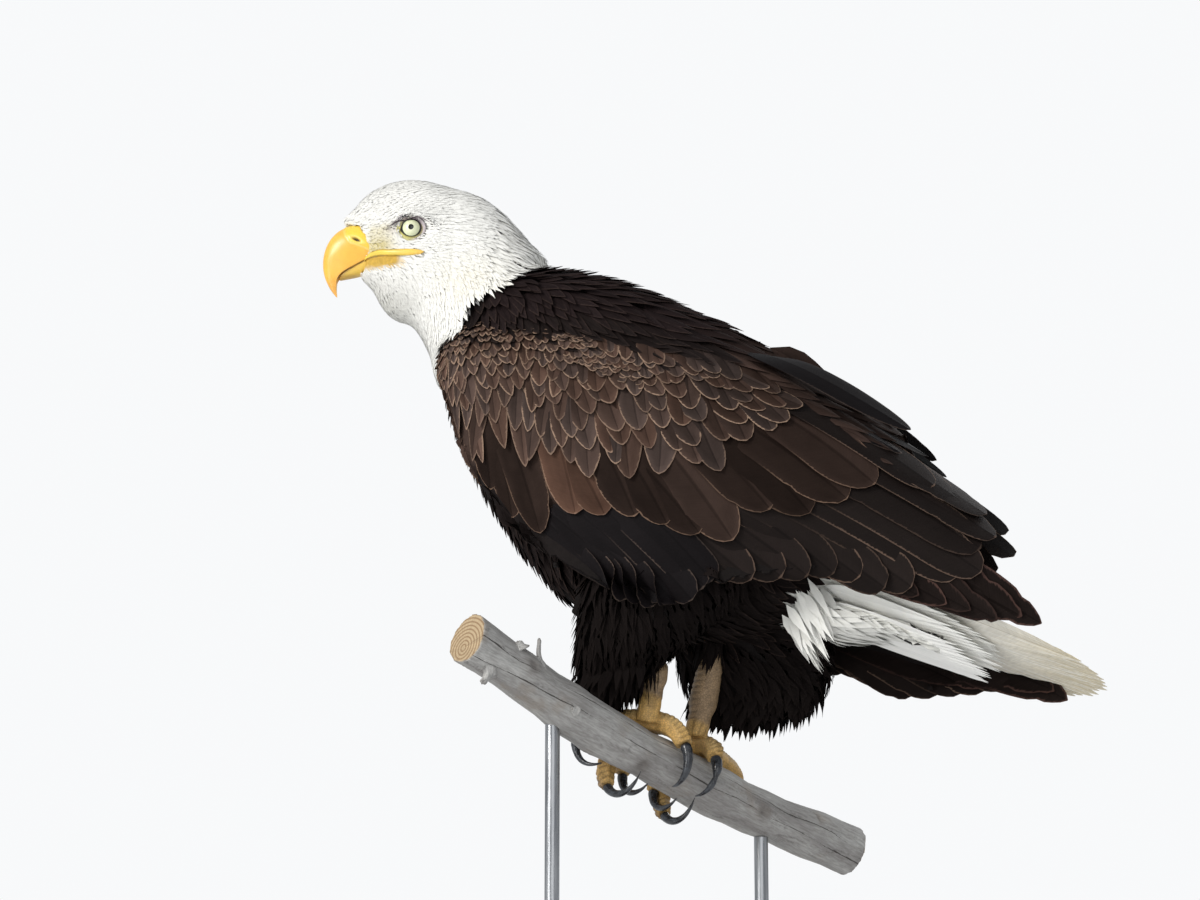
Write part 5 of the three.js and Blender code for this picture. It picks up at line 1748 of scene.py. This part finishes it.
for word, side in (("left", -1), ("right", 1)):
    wing = side, wing_form[word]
    quills("primaries_" + word, *wing, row(PRIMARY_TIPS[word], 6), (-27, -25), (215, 235), (36, 38), (-6, -4),
           QUILL, primary_coat, 61, 1.7, 0.7, worn=0.4)
    quills("primary_coverts_" + word, *wing, row(WRIST_TIPS[word], 9), (-41, -46), (110, 145), (25, 30),
           (-1.8, -0.8), BLACKEST * 1.3, black_coat, 62, 3, 0.85, worn=0.5)
    quills("secondaries_" + word, *wing, row(SECONDARY_TIPS[word], 11), (-41, -30), (150, 215), (36, 39),
           (-3.6, -1.6), QUILL, quill_coat, 63, 2.4, 0.8)
    quills("tertials_" + word, *wing, row(TERTIAL_TIPS, 5), (-31, -34), (215, 190), (40, 42), (-2.0, -0.6),
           QUILL * 0.9, quill_coat, 64, 2.4, 0.8)
    quills("inner_tertials_" + word, *wing, row(INNER_TIPS, 3), (-33, -34), (190, 180), (30, 30), (0, 0.6),
           BLACKEST, black_coat, 65, 1.8, 0.6, lift_root=-16)
    if word == "right":  # the lower right wing shows a second, upper row
        quills("middle_quills_right", *wing, row(MIDDLE_TIPS, 9), (-44, -33), (120, 190), (38, 42),
               (-2.4, -1.0), QUILL, quill_coat, 67, 2.4, 0.8)
    quills("greater_coverts_" + word, *wing, row(GREATER_ROW, 13), (-80, -38), (92, 118), (34, 50),
           (-1.8, -0.4), GREATER_COLOURS, greater_coat, 66, 1.9, 0.6, slot="brown_plumage", segments=18,
           lift_root=-4, uneven=3.2, tone=(0.0, 1.0))

# %% [markdown]
# ## Tail
# Twelve white quills make the tail: the middle pair on top, each further pair under the one
# inside it. Their ends are worn to cream and frayed. One layer of short white coverts hides
# the roots above, and three loose layers fill the space below, each shorter than the one over
# it. The tail's own directions come from its solid, as its main axes.

# %% Tail frame
def main_axes(node):
    """The points of a node, and its longest, middle and shortest directions."""
    co = np.array([v.co for v in frame["nodes"][node].data.vertices])
    return co, np.linalg.svd(co - co.mean(0), full_matrices=False)[2]


tail_points, tail_axes = main_axes("tail")
TAIL_WAY = tail_axes[0] * np.sign(tail_axes[0][0])
TAIL_ASIDE = tail_axes[1] * np.sign(tail_axes[1][1])
TAIL_ABOVE = unit(np.cross(TAIL_WAY, TAIL_ASIDE))
TAIL_ABOVE *= np.sign(TAIL_ABOVE[2])
tail_run = (tail_points - tail_points.mean(0)) @ TAIL_WAY
print("tail length mm", round(float(np.ptp(tail_run)) / MM), "runs", TAIL_WAY.round(2))


# %% Tail feather maker
def tail_coat(name, material, count, spread, root_spread, reach, start_run, width, rise, colour, seed, worn,
              point, begin, segments, cup=0.0, tip_over=0.0, ragged=4, centre=0.0, nodes=()):
    """A fan of tail feathers, in millimetres. Its middle and outer tips end at reach from the tail's end."""
    local = np.random.default_rng(seed)
    f = np.linspace(-1, 1, count)
    s = vane_grid(segments, 1.3)
    end = tail_run.max() - (reach[0] + (reach[1] - reach[0]) * np.abs(f) ** 2) * MM
    end = end - np.abs(local.normal(0, ragged * MM, count))
    run = start_run + (end - start_run)[:, None] * s[None]
    aside = centre + (f * root_spread)[:, None] * (1 - s) + (f * spread)[:, None] * s
    top = np.interp(run, [tail_run.min(), tail_run.max()], [12, 7])
    up = top + rise - 2.5 * np.abs(f)[:, None] - cup * np.abs((aside - centre) / 50) ** 1.6
    spine = tail_points.mean(0) + run[..., None] * TAIL_WAY
    spine = spine + (aside * MM)[..., None] * TAIL_ASIDE + (up * MM)[..., None] * TAIL_ABOVE
    lean = (tip_over + np.arctan(0.08 * f))[:, None, None]
    normal = np.broadcast_to(TAIL_ABOVE * np.cos(lean) + TAIL_ASIDE * np.sin(lean), spine.shape)
    half = 0.5 * width * MM * vane_outline(s, 0.15, begin, point)[None] * local.uniform(0.95, 1.05, (count, 1))
    across = np.array([-1, -0.85, -0.62, -0.36, -0.12, -0.03, 0.03, 0.12, 0.36, 0.62, 0.85, 1])
    shape = 1 - worn * local.random((count, len(s), len(across))) ** 2 * step(0.72, 0.98, s)[None, :, None]
    made = build_vanes(name, spine, normal, np.broadcast_to(half, (count, len(s))), across,
                       np.tile(colour, (count, 1)), local.uniform(0.3, 0.7, count), 0.5 * MM, 0.08,
                       0.05 * np.sign(f), ridge=0.4 * MM, edge_shift=shape, patch=QUILL_PATCH)
    dress(made, material, "white_plumage", *nodes)


# %% Tail finish
def tail_finish():
    """White that is worn to cream towards the tip, with a straw-coloured shaft."""
    material, w = finish("tail_coat", 0.6, Sheen_Weight=0.1)
    across, along = w.on_vane()
    tone, barb = w.attribute("tone"), w.attribute("barb")
    strand = w.noise(w.spread((barb, 420), (across, 3), (tone, 40)), 1.0, 4, 0.7)
    long_streak = w.noise(w.spread((along, 2.5), (across, 16), (tone, 90)), 1.0, 3)
    worn = w.times(w.ramp(along, 0.45, 1.0), w.ramp(long_streak, 0.3, 0.62, 0.15, 1.0))
    base = w.blend(worn, w.attribute("plume", "Color"), rgba(206, 192, 156))
    shaft = w.ramp(w.maths("ABSOLUTE", w.minus(across, 0.5)), 0.008, 0.03, 0.5, 0.0)
    base = w.blend(shaft, base, rgba(176, 158, 120))
    w.show("Base Color", w.shaded(base, w.ramp(strand, 0.25, 0.75, 0.86, 1.06)))
    w.bump(strand, 0.45, 0.0006)
    return material


# %% Tail quills and coverts
root = tail_run.min()
tail_coat("tail_quills", tail_finish(), 12, 43, 20, (0, 26), root + 0.01, 30, -1.0, srgb(248, 245, 236), 71, 0.3,
          1.35, 0.66, 48, tip_over=0.3, nodes=["tail"])
tail_coat("tail_coverts_upper", white_coat, 9, 34, 16, (128, 140), root - 0.02, 28, 2.5, WHITE, 72, 0.05, 1.5,
          0.5, 20)
tail_coat("tail_coverts_lower", white_coat, 24, 42, 20, (80, 130), root - 0.005, 19, -12, srgb(240, 239, 232),
          73, 0.4, 1.1, 0.4, 24, cup=-3, tip_over=0.4, ragged=9)
tail_coat("tail_coverts_middle", white_coat, 22, 40, 18, (84, 124), root + 0.004, 18, -22, srgb(242, 241, 235),
          75, 0.4, 1.1, 0.4, 24, cup=-8, tip_over=0.4, ragged=8)
tail_coat("tail_coverts_vent", white_coat, 20, 32, 15, (88, 122), root + 0.012, 17, -34, srgb(242, 241, 236),
          74, 0.5, 1.1, 0.4, 24, cup=-16, tip_over=0.4, ragged=9, centre=2)
for word in ("left", "right"):
    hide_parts("wing_tip_" + word)

# %% [markdown]
# ## Legs, toes and claws
# Below the feathered thighs the legs are bare and scaly. Shank and toes are one living piece,
# so copies of both are joined and remeshed into one skin. Real shanks and toe tops carry a
# row of broad plates, and the rest has small round scales: the plates are pressed into the
# mesh as bands round the branch, and the fine scales are bump. Claws are smooth black horn.

# %% Branch frame
perch_points, perch_axes = main_axes("perch")
BRANCH_WAY = perch_axes[0] * np.sign(perch_axes[0][0])
BRANCH_ABOVE = unit(UPWARD - BRANCH_WAY[2] * BRANCH_WAY)
BRANCH_FRONT = np.cross(BRANCH_ABOVE, BRANCH_WAY)


def round_branch(points):
    """Along the branch in metres, the angle round it, and the distance from its line."""
    d = points - perch_points.mean(0)
    along, up, front = d @ BRANCH_WAY, d @ BRANCH_ABOVE, d @ BRANCH_FRONT
    return along, np.arctan2(front, up), np.hypot(up, front)


print("branch runs", BRANCH_WAY.round(2))


# %% Finishes of legs and claws
def leg_finish():
    """Small round scales, darker in the grooves between them and where dirt lies."""
    material, w = finish("leg_scales", 0.5)
    cells = w.tree.nodes.new("ShaderNodeTexVoronoi")
    cells.feature = "DISTANCE_TO_EDGE"
    cells.inputs["Scale"].default_value = 480
    w.put(cells.inputs["Vector"], w.place())
    scale = w.ramp(cells.outputs["Distance"], 0.02, 0.18)
    grime = w.noise(w.place(), 120, 4)
    value = w.times(w.ramp(scale, 0, 1, 0.72, 1.05), w.ramp(grime, 0.3, 0.7, 0.78, 1.1))
    groove = w.attribute("groove")
    value = w.times(value, w.minus(1.0, w.times(groove, 0.45)))
    w.show("Base Color", w.shaded(w.attribute("plume", "Color"), value))
    w.bump(scale, 0.5, 0.0006)
    return material


leg_scales = leg_finish()
claw_horn, w = finish("claw_horn", 0.22, Coat_Weight=0.4, Coat_Roughness=0.12)
horn_grain = w.noise(w.place(), 160, 4)
w.show("Base Color", w.blend(w.ramp(horn_grain, 0.35, 0.7), rgba(30, 31, 35), rgba(58, 62, 68)))
w.show("Roughness", w.ramp(horn_grain, 0.3, 0.7, 0.18, 0.36))
w.bump(w.noise(w.place(), 600, 3), 0.1, 0.0003)
print("materials", len(bpy.data.materials))

# %% Legs
TOE_PLATE, SHANK_PLATE = 4.3 * MM, 5.2 * MM  # from one broad plate to the next
TOE_SKIN, SHANK_SKIN, PLATE_HIGHLIGHT = srgb(214, 172, 102), srgb(156, 130, 98), srgb(232, 204, 150)
for word in ("left", "right"):
    leg = soft_copy("leg_" + word, ["shank_" + word, "foot_" + word], 0.0012, 4)
    co, no = points_of(leg), normals_of(leg)
    along, angle, distance = round_branch(co)
    middle = round_branch(centre_of("shank_" + word)[None])[0][0]
    on_toe = step(0.046, 0.040, distance)
    path = np.hypot(angle * 0.031, along - middle)
    band = np.where(on_toe > 0.5, path / TOE_PLATE, co[:, 2] / SHANK_PLATE)
    groove = np.exp(-(((band - np.round(band)) / 0.16) ** 2))
    outer_side = np.where(on_toe > 0.5, step(0.028, 0.034, distance), step(-0.2, 0.4, -no[:, 0]))
    groove = groove * outer_side
    pads = 0.5 * (1 - outer_side) * np.abs(np.sin(path / (5.5 * MM)))
    stout = 2.6 * (1 - on_toe) * step(0.05, 0.06, distance)
    move_points(leg, co + no * ((0.45 + stout + pads - 0.75 * groove) * MM)[:, None])
    keep_values(leg, groove=groove)
    tone = lerp(SHANK_SKIN, TOE_SKIN, on_toe)
    colour_points(leg, lerp(tone, PLATE_HIGHLIGHT, on_toe * step(0.3, 0.9, no[:, 2]) * 0.6))
    dress(leg, leg_scales, "foot_skin", "shank_" + word, "foot_" + word)
    for toe in ("hind", "inner", "middle", "outer"):
        claw = node_copy(f"talon_{word}_{toe}", f"claw_{word}_{toe}")
        apply_modifier(claw, "SUBSURF", levels=3, render_levels=3)
        bpy.ops.object.shade_smooth()
        dress(claw, claw_horn, "claw", f"claw_{word}_{toe}")

# %% [markdown]
# ## Loose strands
# The thick coat ends raggedly where it meets bare skin or another part. Narrow feathers that
# hang free are rooted there: boots round the tops of the shanks, tufts along the lower edges
# of the thighs, and a white tuft under the root of the tail.

# %% Strand maker
def strands(name, roots, ways, normals, length, width, material, slot, colour, seed):
    """Loose narrow feathers that hang free from their roots. Lengths and widths are millimetres."""
    local = np.random.default_rng(seed)
    count = len(roots)
    s = vane_grid(6)
    ways = unit(ways + local.normal(0, 0.09, (count, 3)))
    normals = unit(normals - ways * (normals * ways).sum(1, keepdims=True))
    long = length * local.uniform(0.75, 1.15, count)[:, None, None] * MM
    bend = 0.06 * long * np.sin(s * 2.6)[None, :, None]
    spine = roots[:, None] + ways[:, None] * (s[None, :, None] * long) + normals[:, None] * bend
    half = 0.5 * width * MM * local.uniform(0.8, 1.2, (count, 1)) * vane_outline(s, 0.3, 0.4, 1.0)[None]
    made = build_vanes(name, spine, np.repeat(normals[:, None], len(s), axis=1), half,
                       np.array([-1, -0.4, 0.4, 1]), np.tile(colour, (count, 1)),
                       local.uniform(0.2, 0.8, count), 0.25 * MM, 0.2, 0.1 * local.choice((-1, 1), count),
                       soft=True)
    dress(made, material, slot)


# %% Boots
for word, low, seed in (("left", 428, 81), ("right", 421, 82)):
    local = np.random.default_rng(seed)
    shank = points_of(bpy.data.objects["leg_" + word])
    turn, rise = local.uniform(0, 2 * np.pi, 90), local.uniform(22, 46, 90)
    upper = shank[shank[:, 2] > shank[:, 2].max() - 0.02].mean(0)
    lower = shank[np.abs(shank[:, 2] - 0.4) < 0.003].mean(0)
    run = unit(lower - upper)
    out = np.stack([np.cos(turn), np.sin(turn), 0 * turn], 1)
    foot = upper + run * ((upper[2] - low * MM) / -run[2])
    roots = foot - run * (rise * MM)[:, None] + out * (5 + 0.13 * rise)[:, None] * MM
    strands("boot_" + word, roots, run + 0.05 * out, out, 26, 6, down_coat, "dark_plumage", THIGH, seed)

# %% Tufts under the tail and along the thighs
local = np.random.default_rng(83)
near_vent = [local.uniform(126, 150, 70), local.uniform(-30, 14, 70), local.uniform(462, 496, 70)]
roots, n = hull_surface.nearest(np.column_stack(near_vent) * MM)
strands("vent_tuft", roots, np.array([0.5, 0, -0.86]) + 0 * roots, unit(n + [0.2, -0.6, -0.2]), 40, 8,
        white_coat, "white_plumage", UNDERTAIL, 83)
for word, length, seed in (("left", 25, 84), ("right", 20, 85)):
    local = np.random.default_rng(seed)
    low = np.where(OWNER == "thigh_" + word)[0]
    low = local.choice(low[FZ[low] < FZ[low].min() + 30], 170, replace=False)
    out = FACE_NORMAL[low]
    strands("thigh_tuft_" + word, FACE_CENTRE[low] - 6 * MM * out, 0.3 * out + [-0.25, 0, -1], out, length, 7,
            down_coat, "dark_plumage", THIGH, seed)

# %% [markdown]
# ## Branch
# The perch is a cut length of dead branch, bare and silver grey, checked with long cracks that
# run with the grain, swollen round old knots, and sawn at both ends. Grain, knots and short
# cracks are cut into a fine remesh of the solid, from noise that is stretched along the
# branch's own line. The long cracks are finer than its faces, so each vertex only keeps how
# far it lies from them, and the finish opens them in colour and bump. A saw cut shows rings.

# %% Noise, cracks and knots
def wave(points, scale, seed=0.0):
    """Smooth noise at points, about -1 to 1, where scale is how many swings a metre."""
    return np.array([noise.noise(Vector(p * scale) + Vector((seed, seed * 1.7, -seed))) for p in points])


CRACK_TURNS = (-1.3, -1.95, 0.7, 1.7)  # where the long drying cracks run, as angles round the branch
BRANCH_RADIUS = 0.021
KNOTS = ((-0.17, -1.2), (-0.075, 2.4), (0.105, -1.9), (0.17, 0.6), (-0.03, -2.6))  # along and round it

# %% Branch form
branch = soft_copy("branch", ["perch"], 0.0015, 3)
co, no = points_of(branch), normals_of(branch)
along, angle, distance = round_branch(co)
rolled = np.stack([along * 0.16, np.cos(angle) * BRANCH_RADIUS, np.sin(angle) * BRANCH_RADIUS], 1)
broad = wave(rolled, 90)
grain = wave(rolled * np.array([0.5, 1, 1]), 420, 3.1)
split = np.abs(wave(rolled * np.array([0.8, 1, 1]) + broad[:, None] * 0.0012, 130, 7.7))
crack = 0.35 * step(0.05, 0.0, split) * step(-0.25, 0.2, wave(rolled, 60, 5.5))
long_cracks = {}
for k, turn in enumerate(CRACK_TURNS):
    drift = 0.2 * wave(np.stack([along, 0 * along, 0 * along + turn], 1), 16)
    long_cracks[f"gap_{k}"] = (angle - turn - drift) * 21
ends = np.maximum(step(along.min() + 0.006, along.min() + 0.002, along),
                  step(along.max() - 0.006, along.max() - 0.002, along))
sawn = (ends > 0.4) * step(0.5, 0.8, np.abs(no @ BRANCH_WAY))
height = 0.9 * broad + 0.35 * grain - 1.9 * crack
knots = np.zeros(len(co))
for place, turn in KNOTS:
    gap = np.hypot(along - place, BRANCH_RADIUS * np.abs((angle - turn + np.pi) % (2 * np.pi) - np.pi))
    knots = np.maximum(knots, np.exp(-((gap / 0.0085) ** 2)))
    height += 2.4 * np.exp(-((gap / 0.011) ** 2)) - 2.6 * np.exp(-((gap / 0.0035) ** 2))
move_points(branch, co + no * (height * (1 - sawn) * MM)[:, None])
keep_values(branch, crack=crack, sawn=sawn, knot=knots, along=along, from_line=distance, **long_cracks)


def keep_rolled(obj, values):
    """Keeps where the grain's noise is read for each vertex."""
    layer = obj.data.attributes.new("rolled", "FLOAT_VECTOR", "POINT")
    layer.data.foreach_set("vector", values.astype(np.float32).ravel())


keep_rolled(branch, rolled)
print("branch length mm", round(float(np.ptp(along)) / MM))


# %% Branch finish
def branch_finish():
    """Grey weathered wood with fibres, stains, cracks and knots, and rings where it is sawn."""
    material, w = finish("grey_branch", 0.82)
    rolled = w.attribute("rolled", "Vector")
    fibre = w.noise(rolled, 700, 5, 0.65)
    patch = w.noise(rolled, 60, 4, 0.6)
    stain = w.noise(w.place(), 26, 3)
    colour = w.blend(w.ramp(patch, 0.3, 0.7), rgba(156, 153, 150), rgba(198, 197, 193))
    colour = w.blend(w.ramp(fibre, 0.3, 0.72, 0.55, 0.0), colour, rgba(112, 107, 103))
    colour = w.blend(w.ramp(stain, 0.52, 0.7, 0.0, 0.45), colour, rgba(146, 132, 116))
    opened = w.attribute("crack")
    for k in range(len(CRACK_TURNS)):  # each opens and closes along its line
        along = w.plus(w.times(w.attribute("along"), 11), 3.3 * k)
        wide = w.ramp(w.noise(w.vector(along, 0.0, 0.0), 1.0, 2), 0.4, 0.6, 0.02, 0.55)
        ragged = w.plus(w.attribute(f"gap_{k}"), w.ramp(fibre, 0.2, 0.8, -0.5, 0.5))
        split = w.maths("DIVIDE", w.maths("ABSOLUTE", ragged), wide)
        opened = w.maths("MAXIMUM", opened, w.ramp(split, 0.5, 1.2, 1.0, 0.0))
    colour = w.blend(w.times(opened, 0.9), colour, rgba(58, 52, 48))
    colour = w.blend(w.times(w.attribute("knot"), 0.55), colour, rgba(84, 74, 66))
    from_line = w.plus(w.attribute("from_line"), w.times(stain, 0.002))
    ring = w.maths("SINE", w.times(from_line, 1900))
    face = w.blend(w.ramp(ring, -0.3, 0.9), rgba(190, 168, 134), rgba(150, 122, 90))
    face = w.blend(w.ramp(fibre, 0.3, 0.7, 0.35, 0.0), face, rgba(120, 98, 74))
    w.show("Base Color", w.blend(w.attribute("sawn"), colour, face))
    w.bump(w.minus(fibre, w.times(opened, 2.0)), 0.5, 0.0008)
    return material


grey_branch = branch_finish()
dress(branch, grey_branch, "weathered_wood", "perch")
print("cracks", len(CRACK_TURNS), "knots", len(KNOTS))

# %% [markdown]
# ## Broken twigs
# Dead branches keep stumps of the twigs they once carried. Each is a sphere drawn out along
# its own line, flared at the foot so that it grows out of the branch, and ragged at its end.

# %% Twig maker
def twig(name, place, turn, way, length, radius, seed):
    """The stump of a broken twig: flared where it leaves the branch, bent, with a ragged end. Millimetres."""
    foot = co[np.argmin(np.hypot(along - place, BRANCH_RADIUS * (angle - turn)))]
    stump = ball(name, 20, 22)
    x, y, z = points_of(stump).T
    t, round_it = np.arccos(np.clip(-z, -1, 1)) / np.pi, np.arctan2(y, x)
    way = unit(np.asarray(way, float))
    first = unit(np.cross(way, [0.3, 0.9, 0.2]))
    second = np.cross(way, first)
    run = (t * 1.25 - 0.25) * length
    wide = radius * (1 + 0.9 * np.exp(-np.maximum(run, 0) / 2.5)) * (1 - 0.35 * t)
    wide = wide * np.clip(np.minimum(t, 1 - t) * 14, 0, 1) ** 0.5
    rough = wave(np.stack([np.cos(round_it), np.sin(round_it), t * 2], 1), 2.4, seed)
    run = run + 0.2 * length * rough * step(0.7, 1, t)
    wide = wide * (1 + 0.22 * rough)
    bend = 0.12 * length * np.sin(t * np.pi)
    offset = way * run[:, None] + first * (wide * np.cos(round_it) + bend)[:, None]
    offset = offset + second * (wide * np.sin(round_it))[:, None]
    move_points(stump, foot + offset * MM)
    keep_rolled(stump, offset * (0.001, 0.001, 0.0002))
    far = np.full(len(t), 9.0)  # no long crack comes near
    keep_values(stump, knot=0.7 * step(0.9, 1, t), **{gap: far for gap in long_cracks})
    bpy.ops.object.shade_smooth()
    dress(stump, grey_branch, "weathered_wood")


# %% Six twigs
twig("twig_spur", -0.160, -0.8, (-0.05, -0.1, 1), 20, 2.3, 1.0)
twig("twig_spur_side", -0.163, -0.7, (-0.9, -0.3, 0.8), 8, 2.0, 2.0)
twig("twig_knob_upper", -0.184, -0.7, (-0.2, -0.5, 1), 6, 4.0, 3.0)
twig("twig_knob_front", -0.118, -2.0, (-0.3, -1, 0.2), 5, 2.6, 4.0)
twig("twig_knob_back", 0.10, 0.9, (0.1, 1, 0.8), 8, 3.0, 5.0)
twig("twig_stub_under", -0.205, -2.5, (-0.25, -0.7, -0.9), 13, 3.8, 6.0)

# %% [markdown]
# ## Display stand
# A museum stand is plain: a dark oiled board with eased edges and two turned steel rods, each
# with a small round foot plate. The board is a copy of its solid with its edges bevelled
# again. Each rod is a cylinder of the solid's own size, joined to a wider, low cylinder as its
# foot plate, and both are bevelled.

# %% Board finish
def board_finish():
    """Dark oiled wood with rings drawn out along the board and fine open pores."""
    material, w = finish("oiled_walnut", 0.42, Coat_Weight=0.15, Coat_Roughness=0.3)
    warp = w.noise(w.place((1, 3, 3)), 6, 3)
    grain = w.noise(w.vector(w.times(warp, 3.0), 0.0, 0.0), 1.0)
    rings = w.noise(w.place((1, 9, 9)), 16, 6, 0.6, 1.2)
    pores = w.noise(w.place((1, 26, 26)), 70, 4, 0.7)
    colour = w.blend(w.ramp(rings, 0.35, 0.66), rgba(72, 46, 31), rgba(112, 76, 52))
    colour = w.blend(w.ramp(grain, 0.4, 0.6, 0.0, 0.3), colour, rgba(54, 34, 24))
    colour = w.blend(w.ramp(pores, 0.55, 0.75, 0.0, 0.5), colour, rgba(40, 25, 18))
    w.show("Base Color", colour)
    w.show("Roughness", w.ramp(pores, 0.3, 0.7, 0.34, 0.52))
    w.bump(pores, 0.15, 0.0003)
    return material


# %% Board
board = node_copy("stand_board", "stand_base")
apply_modifier(board, "BEVEL", width=0.0016, segments=3, limit_method="ANGLE", angle_limit=math.radians(30))
bpy.ops.object.shade_smooth_by_angle(angle=math.radians(40))
dress(board, board_finish(), "base_wood", "stand_base")
print("board faces", len(board.data.polygons))

# %% Steel rods
FOOT_PLATE_HEIGHT = 3.2 * MM
steel, w = finish("turned_steel", 0.3, Metallic=1.0)
turning = w.noise(w.place((1, 1, 0.05)), 300, 3)
w.show("Base Color", w.blend(w.ramp(turning, 0.3, 0.7), rgba(150, 152, 155), rgba(188, 190, 192)))
w.show("Roughness", w.ramp(turning, 0.3, 0.7, 0.22, 0.4))
w.bump(turning, 0.08, 0.0002)
for end in ("front", "back"):
    a, b = (np.array(c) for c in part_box("stand_rod_" + end))
    middle, radius = (a + b) / 2, (b[0] - a[0]) / 2
    pieces = []
    for r, bottom, top in ((radius, a[2], b[2]), (radius * 2.4, a[2], a[2] + FOOT_PLATE_HEIGHT)):
        bpy.ops.object.select_all(action="DESELECT")
        bpy.ops.mesh.primitive_cylinder_add(vertices=64, radius=r, depth=top - bottom,
                                            location=(middle[0], middle[1], (top + bottom) / 2))
        part = bpy.context.object
        bpy.ops.object.transform_apply(location=True)
        apply_modifier(part, "BEVEL", width=0.0008, segments=3, limit_method="ANGLE", angle_limit=math.radians(40))
        pieces.append(part)
    select_only(*pieces)
    bpy.ops.object.join()
    rod = bpy.context.object
    rod.name = rod.data.name = "stand_post_" + end
    bpy.ops.object.shade_smooth_by_angle(angle=math.radians(30))
    dress(rod, steel, "rod_steel", "stand_rod_" + end)
